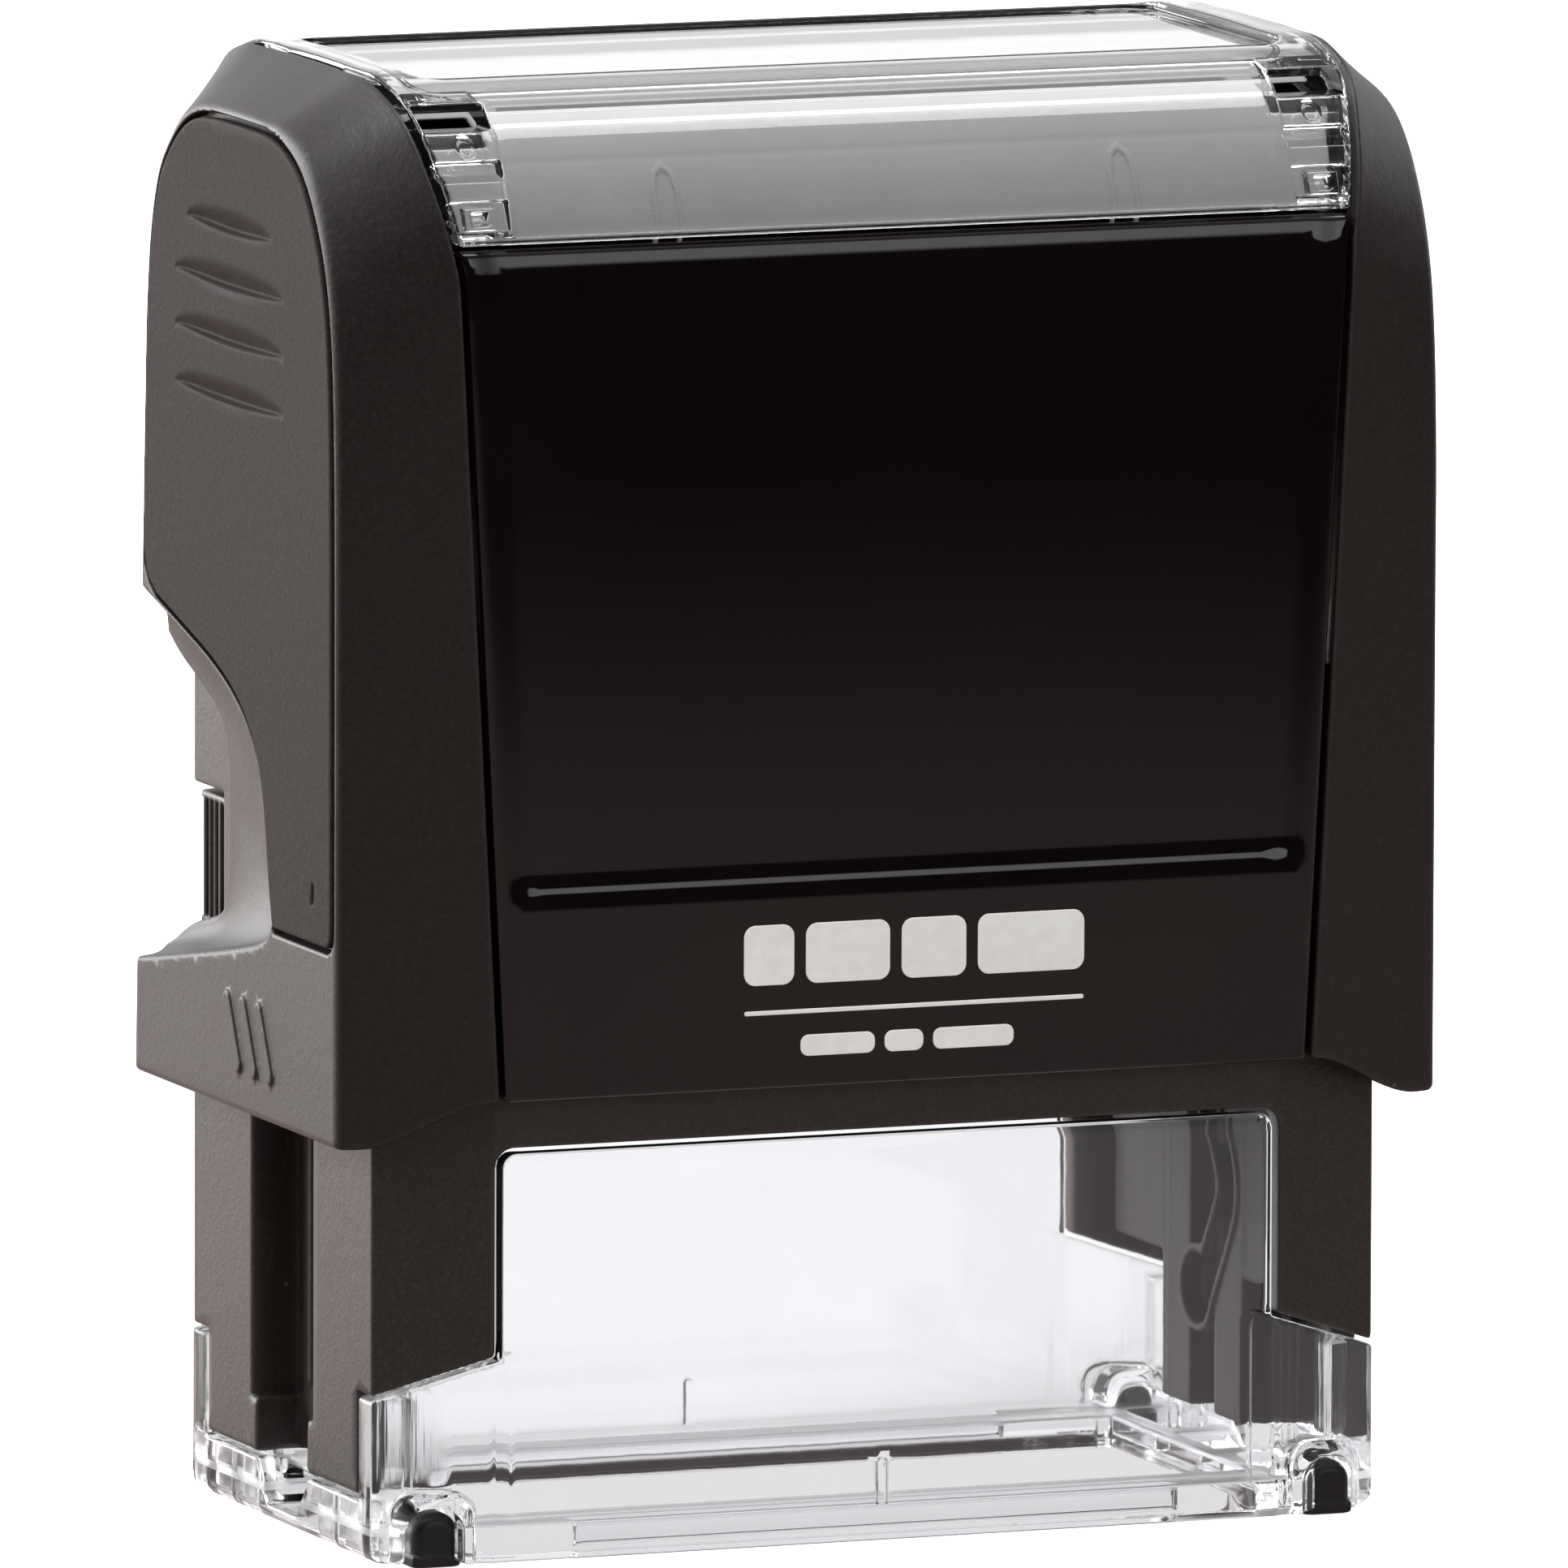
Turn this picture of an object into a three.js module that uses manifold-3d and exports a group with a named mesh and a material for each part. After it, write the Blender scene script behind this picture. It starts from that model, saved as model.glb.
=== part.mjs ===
// Self inking stamp: a sprung cap slides down over a slotted frame, a die carrier turns over
// half a turn on the way and prints through the open clear base. Millimetres, +Z up, -Y front.
// The origin is the middle of the footprint on the table.
import * as THREE from "three";
import { mergeVertices } from "three/addons/utils/BufferGeometryUtils.js";
import Module from "manifold-3d";

// ---- driving dimensions ---------------------------------------------------------------
const GAP = 0.3; // clearance between pieces that touch on the real object
const CAP_X = 34.1; // half length over the side faces of the cap
const CAP_Y = 20.0; // half depth over the front and back panels
const CAP_TOP = 85.85; // height over the top of the cap at rest
const ARM_LOW = 24.6; // lowest edge of the side arms
const PANEL_LOW = 27.3; // lower edge of the front panel
const PANEL_TOP = 76.5; // where the front panel meets the clear window
const STROKE = 23.0; // how far the cap is pressed down

const FRAME_X = 31.1; // half length of the frame and the base
const FRAME_SIDE_Y = 14.8; // half depth of the flat side faces
const FRAME_FRONT_X = 24.3; // half width of the flat front faces, and of the windows
const FRAME_Y = 17.1; // half depth over the flat front faces
const FRAME_WALL = 1.6;
const FRAME_TOP = 50.4;
const WINDOW_TOP = 24.2; // upper edge of the front and back windows
const LEG_LOW = 3.8; // lower end of the black legs on the side faces
const SLOT_Y = 5.0; // half width of the channel in each side face
const CHANNEL_IN = 26.2; // inner face of the channel's floor plate
const CHANNEL_FLOOR = 28.2; // outer face of the channel's floor plate
const TRACK_DEPTH = 0.9;

const AXLE_Z = 29.0; // axle height at rest
const AXLE_R = 1.5;
const FOLLOWER_R = 4.2; // radius at which the follower pins sit
const PIN_R = 0.8;
const DIE_X = 23.5; // half size of the printing plate (47 x 18 mm)
const DIE_Y = 9.0;
const DIE_FACE = 5.8; // axle to printing face

const CARTRIDGE_Z0 = 33.4;
const CARTRIDGE_Z1 = 41.3;
const CARTRIDGE_HEAD_X = 30.7;
const PAD_FACE = 35.2; // underside of the ink pad
const BACK_LOW = 31.3; // opening in the back of the cap, level with the finger notches
const BACK_HIGH = 52.5;

const DECK_Z0 = 42.0; // deck above the cartridge that carries the spring
const DECK_Z1 = 43.4;
const BOW_ROOF_Z0 = 79.9;
const BOW_ROOF_Z1 = 81.4;
const SPRING_R = 5.5;
const WIRE_R = 0.45;
const SPRING_TURNS = 10;

// ---- solids ---------------------------------------------------------------------------
const wasm = await Module();
wasm.setup();

function solid(geometry) {
  const g = geometry.index ? geometry.toNonIndexed() : geometry;
  const bare = new THREE.BufferGeometry().setAttribute(
    "position",
    g.getAttribute("position"),
  );
  const merged = mergeVertices(bare, 1e-4);
  return new wasm.Manifold(
    new wasm.Mesh({
      numProp: 3,
      vertProperties: new Float32Array(merged.attributes.position.array),
      triVerts: new Uint32Array(merged.index.array),
    }),
  );
}

const box = (x0, x1, y0, y1, z0, z1) =>
  solid(
    new THREE.BoxGeometry(x1 - x0, y1 - y0, z1 - z0).translate(
      (x0 + x1) / 2,
      (y0 + y1) / 2,
      (z0 + z1) / 2,
    ),
  );

const shapeOf = (points) =>
  new THREE.Shape(points.map(([a, b]) => new THREE.Vector2(a, b)));

const extrude = (points, depth) =>
  new THREE.ExtrudeGeometry(shapeOf(points), {
    depth,
    bevelEnabled: false,
    steps: 1,
  });

// A prism along X of a [y, z] outline.
const prismX = (points, x0, x1) =>
  solid(
    extrude(points, x1 - x0).applyMatrix4(
      new THREE.Matrix4()
        .makeBasis(
          new THREE.Vector3(0, 1, 0),
          new THREE.Vector3(0, 0, 1),
          new THREE.Vector3(1, 0, 0),
        )
        .setPosition(x0, 0, 0),
    ),
  );

// A prism along Y of an [x, z] outline.
const prismY = (points, y0, y1) =>
  solid(
    extrude(points, y1 - y0).applyMatrix4(
      new THREE.Matrix4()
        .makeBasis(
          new THREE.Vector3(1, 0, 0),
          new THREE.Vector3(0, 0, 1),
          new THREE.Vector3(0, -1, 0),
        )
        .setPosition(0, y1, 0),
    ),
  );

// A prism along Z of an [x, y] outline.
const prismZ = (points, z0, z1) =>
  solid(extrude(points, z1 - z0).translate(0, 0, z0));

const cylinderX = (r, x0, x1, y, z, sides = 20) =>
  solid(
    new THREE.CylinderGeometry(r, r, x1 - x0, sides)
      .rotateZ(Math.PI / 2)
      .translate((x0 + x1) / 2, y, z),
  );

const cylinderZ = (r, z0, z1, x, y, sides = 32) =>
  solid(
    new THREE.CylinderGeometry(r, r, z1 - z0, sides)
      .rotateX(Math.PI / 2)
      .translate(x, y, (z0 + z1) / 2),
  );

// A closed loft between two [x, y, z] outlines of the same count, both counter-clockwise in (y, z),
// the first at the lower X.
function loft(low, high) {
  const flat = low.map(([, y, z]) => new THREE.Vector2(y, z));
  const flatHigh = high.map(([, y, z]) => new THREE.Vector2(y, z));
  const n = low.length,
    position = [...low, ...high].flat(),
    index = [];
  for (const [a, b, c] of THREE.ShapeUtils.triangulateShape(flat, []))
    index.push(a, c, b);
  for (const [a, b, c] of THREE.ShapeUtils.triangulateShape(flatHigh, []))
    index.push(n + a, n + b, n + c);
  for (let i = 0; i < n; i++) {
    const j = (i + 1) % n;
    index.push(i, j, n + j, i, n + j, n + i);
  }
  const g = new THREE.BufferGeometry();
  g.setAttribute("position", new THREE.Float32BufferAttribute(position, 3));
  g.setIndex(index);
  return solid(g);
}

// A closed outline moved inwards by t, for a counter-clockwise outline.
function inset(points, t) {
  const n = points.length;
  return points.map(([px, py], i) => {
    const [ax, ay] = points[(i + n - 1) % n],
      [bx, by] = points[(i + 1) % n];
    let ux = px - ax,
      uy = py - ay,
      vx = bx - px,
      vy = by - py;
    const ul = Math.hypot(ux, uy),
      vl = Math.hypot(vx, vy);
    ux /= ul;
    uy /= ul;
    vx /= vl;
    vy /= vl;
    const mx = -uy - vy,
      my = ux + vx,
      k = (2 * t) / (mx * mx + my * my);
    return [px + mx * k, py + my * k];
  });
}

// A piece and its mirror image in X.
function mirrored(s) {
  const m = s.getMesh(),
    v = new Float32Array(m.numVert * 3),
    t = new Uint32Array(m.triVerts);
  for (let i = 0; i < m.numVert; i++) {
    v[i * 3] = -m.vertProperties[i * m.numProp];
    v[i * 3 + 1] = m.vertProperties[i * m.numProp + 1];
    v[i * 3 + 2] = m.vertProperties[i * m.numProp + 2];
  }
  for (let i = 0; i < t.length; i += 3) [t[i + 1], t[i + 2]] = [t[i + 2], t[i + 1]];
  return new wasm.Manifold(
    new wasm.Mesh({ numProp: 3, vertProperties: v, triVerts: t }),
  );
}

const all = (solids) => solids.reduce((a, b) => a.add(b));

function mesh(name, s, material) {
  const m = s.getMesh(),
    v = new Float32Array(m.numVert * 3);
  for (let i = 0; i < m.numVert; i++)
    for (let k = 0; k < 3; k++) v[i * 3 + k] = m.vertProperties[i * m.numProp + k];
  const g = new THREE.BufferGeometry();
  g.setAttribute("position", new THREE.BufferAttribute(v, 3));
  g.setIndex(new THREE.BufferAttribute(new Uint32Array(m.triVerts), 1));
  g.computeVertexNormals();
  const out = new THREE.Mesh(g, material);
  out.name = name;
  return out;
}

const standard = (color, roughness, metalness = 0, opacity = 1) =>
  new THREE.MeshStandardMaterial({
    color,
    roughness,
    metalness,
    opacity,
    transparent: opacity < 1,
  });

const MATTE = () => standard(0x2a2624, 0.6);
const MATTE_FRAME = () => standard(0x26221f, 0.62);
const GLOSS = () => standard(0x120e0d, 0.08);
const CLEAR = () => standard(0xf2f3f4, 0.05, 0, 0.35);
const RUBBER = () => standard(0x141312, 0.8);
const STEEL = () => standard(0xb9bcc0, 0.3, 1);

// ---- outlines -------------------------------------------------------------------------
// The cap's profile in (y, z) at the seam between the arms and the panels, counter-clockwise.
const SHOULDER = [
  [20.0, 20.0],
  [20.0, 64.0],
  [20.0, 70.5],
  [19.9, 74.6],
  [19.2, 77.9],
  [17.6, 81.0],
  [15.0, 84.0],
  [10.5, 85.6],
  [5.0, CAP_TOP],
];
const PROFILE = [
  ...SHOULDER,
  ...SHOULDER.map(([y, z]) => [-y, z]).reverse(),
];
// The flat side face in (y, z), the same count of points.
const SIDE_FACE = [
  [16.95, 20.0],
  [15.3, 62.0],
  [15.0, 68.5],
  [14.5, 73.0],
  [13.4, 76.8],
  [11.9, 78.9],
  [9.8, 80.7],
  [7.0, 82.1],
  [4.0, 82.5],
  [-4.0, 82.5],
  [-7.0, 82.3],
  [-10.2, 81.3],
  [-12.7, 79.3],
  [-14.6, 76.4],
  [-15.9, 73.0],
  [-16.7, 68.5],
  [-17.0, 62.0],
  [-17.0, 20.0],
];
// Half width of the panels: it widens from the bottom to the top.
function seamX(z) {
  if (z < 28) return 25.0;
  if (z < 75) return 25.0 + ((z - 28) / 47) * 2.4;
  return 27.4 + ((Math.min(z, CAP_TOP) - 75) / (CAP_TOP - 75)) * 2.1;
}
const seamRegion = (clearance) =>
  prismY(
    [
      [-(seamX(20) - clearance), 10],
      [seamX(20) - clearance, 10],
      [seamX(28) - clearance, 28],
      [seamX(75) - clearance, 75],
      [seamX(CAP_TOP) - clearance, CAP_TOP],
      [seamX(CAP_TOP) - clearance, 95],
      [-(seamX(CAP_TOP) - clearance), 95],
      [-(seamX(CAP_TOP) - clearance), CAP_TOP],
      [-(seamX(75) - clearance), 75],
      [-(seamX(28) - clearance), 28],
    ],
    -30,
    30,
  );
// A shell of the cap's profile between two depths under its skin.
const band = (t0, t1, z0, z1) =>
  prismX(t0 ? inset(PROFILE, t0) : PROFILE, -30, 30)
    .subtract(prismX(inset(PROFILE, t1), -31, 31))
    .intersect(box(-32, 32, -25, 25, z0, z1));

// The finger notch, on the side face and at the bottom of its scoop.
const NOTCH_OUTER = [
  [21, 30.6],
  [21, 54.6],
  [15.6, 53.2],
  [9.0, 51.5],
  [3.2, 49.9],
  [-0.6, 48.1],
  [-3.2, 46.2],
  [-4.6, 43.6],
  [-5.4, 40.2],
  [-5.9, 37.6],
  [-6.1, 35.9],
  [-4.6, 34.9],
  [0, 34.0],
  [5.5, 33.1],
  [11, 32.2],
  [16.7, 31.3],
];
const NOTCH_INNER = [
  [21, 32.4],
  [21, 51.5],
  [15.4, 49.3],
  [11.5, 48.0],
  [8.6, 46.9],
  [7.3, 45.7],
  [6.9, 44.0],
  [6.85, 42.0],
  [6.85, 39.5],
  [6.9, 37.2],
  [7.1, 35.6],
  [8.1, 34.9],
  [9.6, 34.5],
  [11.5, 34.1],
  [13.5, 33.7],
  [16.7, 33.1],
];
// The frame's plan: a rectangle with bevelled corners, moved inwards by t.
const plan = (t) => [
  [-FRAME_FRONT_X + t * 0.15, -FRAME_Y + t],
  [FRAME_FRONT_X - t * 0.15, -FRAME_Y + t],
  [FRAME_X - t, -FRAME_SIDE_Y + t * 0.7],
  [FRAME_X - t, FRAME_SIDE_Y - t * 0.7],
  [FRAME_FRONT_X - t * 0.15, FRAME_Y - t],
  [-FRAME_FRONT_X + t * 0.15, FRAME_Y - t],
  [-FRAME_X + t, FRAME_SIDE_Y - t * 0.7],
  [-FRAME_X + t, -FRAME_SIDE_Y + t * 0.7],
];
// The slanted line where the black legs end on the clear corner columns, in (x, z) for +X.
const legLine = (dz) => [
  [23, -5],
  [33, -5],
  [33, 9.2 + dz],
  [31.1, 9.8 + dz],
  [24.3, 12.1 + dz],
  [23, 12.5 + dz],
];

// ---- clear base -----------------------------------------------------------------------
function base() {
  const shell = (z0, z1) =>
    prismZ(plan(0), z0, z1).subtract(prismZ(plan(FRAME_WALL), z0 - 1, z1 + 1));
  let s = prismZ(plan(0), 0, 2.0).subtract(
    box(-24.8, 24.8, -10.6, 10.6, -1, 3),
  );
  // low walls under the legs, and corner columns up to the slanted line
  s = s.add(shell(1.9, LEG_LOW - GAP).intersect(box(-32, 32, -14.8, 14.8, 0, 9)));
  for (const side of [-1, 1])
    for (const end of [-1, 1]) {
      let corner = shell(1.9, 13);
      const keep = prismY(legLine(-GAP), 12.4 + GAP, 18);
      let k = keep;
      if (end < 0)
        k = prismY(legLine(-GAP), -18, -12.4 - GAP);
      if (side < 0) k = mirrored(k);
      s = s.add(corner.intersect(k));
      // solid corner block around the foot's pocket
      const x0 = side < 0 ? -FRAME_X : 25.3,
        x1 = side < 0 ? -25.3 : FRAME_X,
        y0 = end < 0 ? -18 : 12.6,
        y1 = end < 0 ? -12.6 : 18;
      s = s.add(box(x0, x1, y0, y1, 0.5, 4.3).intersect(prismZ(plan(0), 0, 9)));
    }
  // panes that fill the front and back windows
  s = s.add(box(-23.9, 23.9, -FRAME_Y, -FRAME_Y + 1.4, 1, WINDOW_TOP - GAP));
  s = s.add(box(-23.9, 23.9, FRAME_Y - 1.4, FRAME_Y, 1, WINDOW_TOP - GAP));
  // pane feet that reach the corner columns
  for (const end of [-1, 1]) {
    const y0 = end < 0 ? -FRAME_Y : FRAME_Y - 1.6,
      y1 = end < 0 ? -FRAME_Y + 1.6 : FRAME_Y;
    s = s.add(box(-25.5, 25.5, y0, y1, 0.5, 11.4).intersect(prismZ(plan(0), 0, 13)));
  }
  // foot pockets
  for (const side of [-1, 1])
    for (const end of [-1, 1])
      s = s.subtract(
        box(
          side * 27.7 - 1.8,
          side * 27.7 + 1.8,
          end < 0 ? -18 : 13.3,
          end < 0 ? -13.3 : 18,
          -1,
          3.9,
        ),
      );
  // notches in the low side walls, under the channels
  const notch = [
    [-3.9, 4.5],
    [-3.9, 3.9],
    [-1.6, 2.0],
    [1.6, 2.0],
    [3.9, 3.9],
    [3.9, 4.5],
  ];
  s = s.subtract(prismX(notch, -33, 33));
  return s;
}

// ---- black frame ----------------------------------------------------------------------
function frameSolid() {
  let s = prismZ(plan(0), LEG_LOW, FRAME_TOP).subtract(
    prismZ(plan(FRAME_WALL), 0, FRAME_TOP + 1),
  );
  // windows
  s = s.subtract(box(-FRAME_FRONT_X, FRAME_FRONT_X, -20, 20, 0, WINDOW_TOP));
  // corners stand on the clear columns
  for (const side of [-1, 1]) {
    let low = prismY(legLine(0), -20, -12.4).add(prismY(legLine(0), 12.4, 20));
    if (side < 0) low = mirrored(low);
    s = s.subtract(low);
  }
  // channels in the side faces, with a floor plate set well inside
  s = s.subtract(box(-33, 33, -SLOT_Y, SLOT_Y, 0, FRAME_TOP + 1));
  for (const side of [-1, 1]) {
    const x = (a, b) => (side < 0 ? [-b, -a] : [a, b]);
    const [c0, c1] = x(CHANNEL_IN, FRAME_X - 0.4);
    s = s.add(box(c0, c1, SLOT_Y, SLOT_Y + 1.3, LEG_LOW, FRAME_TOP));
    s = s.add(box(c0, c1, -SLOT_Y - 1.3, -SLOT_Y, LEG_LOW, FRAME_TOP));
    const [p0, p1] = x(CHANNEL_IN, CHANNEL_FLOOR);
    s = s.add(box(p0, p1, -SLOT_Y - 0.2, SLOT_Y + 0.2, LEG_LOW, FRAME_TOP));
    // straight slot for the axle
    const [a0, a1] = x(CHANNEL_IN - 1, CHANNEL_FLOOR + 0.5);
    s = s.subtract(box(a0, a1, -1.8, 1.8, LEG_LOW - 1, AXLE_Z + 2.2));
    // curved track for the follower pin, one closed outline with round ends
    const half = PIN_R + 0.3,
      steps = 16,
      outer = [],
      inner = [];
    const along = (q) => [
      -FOLLOWER_R * Math.sin(q),
      AXLE_Z - (STROKE * q) / Math.PI - FOLLOWER_R * Math.cos(q),
    ];
    for (let i = 0; i <= steps; i++) {
      const q = (Math.PI * i) / steps,
        [y, z] = along(q);
      let ty = -FOLLOWER_R * Math.cos(q),
        tz = -STROKE / Math.PI + FOLLOWER_R * Math.sin(q);
      const l = Math.hypot(ty, tz);
      ty /= l;
      tz /= l;
      outer.push([y + tz * half, z - ty * half]);
      inner.push([y - tz * half, z + ty * half]);
    }
    const round = ([y, z], from, to) => {
      const a0 = Math.atan2(from[1] - z, from[0] - y);
      let a1 = Math.atan2(to[1] - z, to[0] - y);
      while (a1 > a0) a1 -= 2 * Math.PI;
      return [1, 2, 3, 4].map((k) => {
        const a = a0 + ((a1 - a0) * k) / 5;
        return [y + half * Math.cos(a), z + half * Math.sin(a)];
      });
    };
    const track = [
      ...outer,
      ...round(along(Math.PI), outer[steps], inner[steps]),
      ...inner.slice().reverse(),
      ...round(along(0), inner[0], outer[0]),
    ];
    const area = track.reduce((sum, [y, z], k) => {
      const [y2, z2] = track[(k + 1) % track.length];
      return sum + y * z2 - y2 * z;
    }, 0);
    const [g0, g1] = x(CHANNEL_IN - 1, CHANNEL_IN + TRACK_DEPTH);
    s = s.subtract(
      prismX(area < 0 ? track.slice().reverse() : track, g0, g1),
    );
  }
  // deck over the cartridge, with a collar around the spring
  s = s.add(
    box(-CHANNEL_IN - 0.2, CHANNEL_IN + 0.2, -16.3, 16.3, DECK_Z0, DECK_Z1),
  );
  s = s.add(
    cylinderZ(7.4, DECK_Z1 - 0.2, DECK_Z1 + 1.8, 0, 0).subtract(
      cylinderZ(6.4, DECK_Z1, DECK_Z1 + 3, 0, 0),
    ),
  );
  // closed top, open over the channels and around the spring
  s = s.add(
    prismZ(plan(0.5), FRAME_TOP - 1.5, FRAME_TOP)
      .subtract(box(CHANNEL_IN + 1, 33, -SLOT_Y, SLOT_Y, 40, 60))
      .subtract(box(-33, -CHANNEL_IN - 1, -SLOT_Y, SLOT_Y, 40, 60))
      .subtract(cylinderZ(7.2, 40, 60, 0, 0)),
  );
  // the cartridge's way out at the back
  s = s.subtract(
    box(-33, 33, 9.8, 20, CARTRIDGE_Z0 - 0.4, CARTRIDGE_Z1 + 0.4),
  );
  return s;
}

function foot() {
  // a rubber plug with a rounded top, lying along Y
  const points = [
    [-1.5, 0],
    [1.5, 0],
    [1.5, 2.2],
    [1.3, 2.9],
    [0.75, 3.4],
    [0, 3.6],
    [-0.75, 3.4],
    [-1.3, 2.9],
    [-1.5, 2.2],
  ];
  return prismY(points, -1.6, 1.6);
}

// ---- ink cartridge --------------------------------------------------------------------
function cartridge() {
  const z0 = CARTRIDGE_Z0,
    z1 = CARTRIDGE_Z1;
  let s = box(-25.8, 25.8, -14.0, 10.6, z0, z1);
  const head = prismZ(
    [
      [-CARTRIDGE_HEAD_X, 10.1],
      [CARTRIDGE_HEAD_X, 10.1],
      [CARTRIDGE_HEAD_X, 14.7],
      [24.3, 16.8],
      [-24.3, 16.8],
      [-CARTRIDGE_HEAD_X, 14.7],
    ],
    z0,
    z1,
  );
  s = s.add(head);
  s = s.subtract(box(-24.5, 24.5, -9.8, 9.8, z0 - 1, 38.6));
  // no rim in front, so that the cartridge slides out over the die
  s = s.subtract(box(-24.5, 24.5, -15, -9, z0 - 1, PAD_FACE - 0.1));
  // upright grip ribs at both ends
  for (const side of [-1, 1])
    for (let i = 0; i < 5; i++) {
      const y = 10.9 + i * 0.85,
        x = side * CARTRIDGE_HEAD_X;
      s = s.subtract(box(x - 0.5, x + 0.5, y, y + 0.38, z0 - 1, z1 + 1));
    }
  return s;
}

// ---- die carrier, modelled about its own axle -------------------------------------------
function carrier() {
  let s = box(-24.4, 24.4, -DIE_Y + 0.2, DIE_Y - 0.2, -1.0, 1.6);
  for (const side of [-1, 1]) {
    const x = (a, b) => (side < 0 ? [-b, -a] : [a, b]);
    const cheek = [
      [-4.4, 2.6],
      [-4.8, 0],
      [-3.6, -3.2],
      [-1.6, -4.9],
      [1.6, -4.9],
      [3.6, -3.2],
      [4.8, 0],
      [4.4, 2.6],
      [3.0, 3.9],
      [-3.0, 3.9],
    ];
    s = s.add(prismX(cheek, ...x(24.0, 25.9)));
    s = s.add(cylinderX(AXLE_R, ...x(25.5, 29.9), 0, 0));
    s = s.add(cylinderX(PIN_R, ...x(25.5, 26.9), 0, -FOLLOWER_R, 12));
  }
  // stiffening ribs on the back of the plate
  s = s.add(box(-24.2, 24.2, -0.8, 0.8, -3.6, -0.9));
  s = s.add(box(-24.2, 24.2, -6.8, -5.6, -2.4, -0.9));
  s = s.add(box(-24.2, 24.2, 5.6, 6.8, -2.4, -0.9));
  return s;
}
const dieTape = () =>
  box(-DIE_X - 0.2, DIE_X + 0.2, -DIE_Y + 0.15, DIE_Y - 0.15, 1.9, 2.9);
function diePlate() {
  let s = box(-DIE_X, DIE_X, -DIE_Y + 0.3, DIE_Y - 0.3, 3.2, 4.9);
  // raised printing lines and a border
  const border = box(-22.6, 22.6, -7.9, 7.9, 4.8, DIE_FACE).subtract(
    box(-21.6, 21.6, -6.9, 6.9, 4.9, 7),
  );
  s = s.add(border);
  for (const [y, half] of [
    [3.6, 15],
    [0, 18],
    [-3.6, 11],
  ])
    s = s.add(box(-half, half, y - 0.7, y + 0.7, 4.8, DIE_FACE));
  return s;
}

// ---- cap ------------------------------------------------------------------------------
function capShell() {
  let s = band(0, 1.6, PANEL_LOW, PANEL_TOP);
  s = s.add(band(0, 4.1, 75.0, PANEL_TOP));
  s = s.add(band(2.6, 4.1, 75.0, 90));
  s = s.subtract(box(-31, 31, 14, 25, 20, BACK_HIGH)); // the cartridge's way out
  return s.intersect(seamRegion(0.15));
}

function armCover() {
  const at = (points, f) => points.map(([y, z]) => [f(z), y, z]);
  const outer = loft(
    at(PROFILE, (z) => seamX(z) + 0.15),
    at(SIDE_FACE, () => CAP_X),
  );
  const hollow = loft(
    at(inset(PROFILE, 1.35), (z) => seamX(z) - 0.5),
    at(inset(SIDE_FACE, 0.5), () => 32.2),
  );
  let s = outer.subtract(hollow);
  // thick skin behind the scoop, then the scoop itself
  const around = inset(NOTCH_OUTER, -1.2);
  s = s.add(prismX(around, 31.5, 33.9).intersect(outer));
  const k = (CAP_X + 0.6 - 32.0) / (CAP_X - 32.0);
  const beyond = NOTCH_OUTER.map(([y, z], i) => [
    CAP_X + 0.6,
    NOTCH_INNER[i][0] + (y - NOTCH_INNER[i][0]) * k,
    NOTCH_INNER[i][1] + (z - NOTCH_INNER[i][1]) * k,
  ]);
  s = s.subtract(loft(at(NOTCH_INNER, () => 32.0), beyond));
  s = s.subtract(prismX(NOTCH_INNER, 24, 32.05));
  // lower edge: level on the side face, rising along the bevels to the seam
  s = s.subtract(
    prismY(
      [
        [20, 10],
        [36, 10],
        [36, ARM_LOW],
        [33.9, ARM_LOW],
        [30.1, ARM_LOW + 0.8],
        [25, PANEL_LOW],
        [20, PANEL_LOW + 1],
      ],
      -26,
      26,
    ),
  );
  // the cartridge's way out at the back
  s = s.subtract(box(20, 31.25, 9.0, 26, BACK_LOW + 0.2, BACK_HIGH));
  // recess for the grip
  s = s.subtract(prismX(inset(GRIP, -0.3), 33.15, 36));
  return s;
}

// The soft grip's outline on the side face, in (y, z), counter-clockwise.
const GRIP = [
  [-7.3, 36.3],
  [-7.0, 38.0],
  [-6.5, 40.6],
  [-5.8, 44.0],
  [-4.3, 47.2],
  [-1.4, 49.4],
  [2.8, 51.2],
  [8.8, 52.9],
  [14.4, 54.4],
  [14.1, 62.0],
  [13.9, 68.0],
  [13.3, 72.6],
  [12.3, 76.0],
  [11.0, 78.0],
  [9.2, 79.7],
  [6.6, 81.1],
  [3.6, 81.5],
  [-3.6, 81.5],
  [-6.6, 81.3],
  [-9.6, 80.3],
  [-11.9, 78.5],
  [-13.6, 75.9],
  [-14.8, 72.7],
  [-15.6, 68.2],
  [-15.8, 62.0],
  [-15.8, 37.6],
  [-15.4, 36.7],
  [-14.6, 36.3],
];
function grip() {
  let s = prismX(GRIP, 33.45, CAP_X);
  // four crescent dents for the thumb and finger
  for (const [y, z] of [
    [0.9, 75.5],
    [0.9, 72.2],
    [0.9, 68.9],
    [0.9, 65.5],
  ]) {
    const dent = [];
    for (let i = 0; i <= 8; i++) {
      const u = -1 + i / 4;
      dent.push([y - u * 7.6, z + 0.5 * (u * u) - 0.6]);
    }
    for (let i = 8; i >= 0; i--) {
      const u = -1 + i / 4;
      dent.push([y - u * 7.6, z + 0.5 * (u * u) + 0.65 * (1 - u * u) - 0.5]);
    }
    const area = dent.reduce((sum, [a, b], k) => {
      const [c, d] = dent[(k + 1) % dent.length];
      return sum + a * d - c * b;
    }, 0);
    s = s.subtract(
      prismX(area < 0 ? dent.slice().reverse() : dent, CAP_X - 0.35, 36),
    );
  }
  return s;
}

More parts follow.
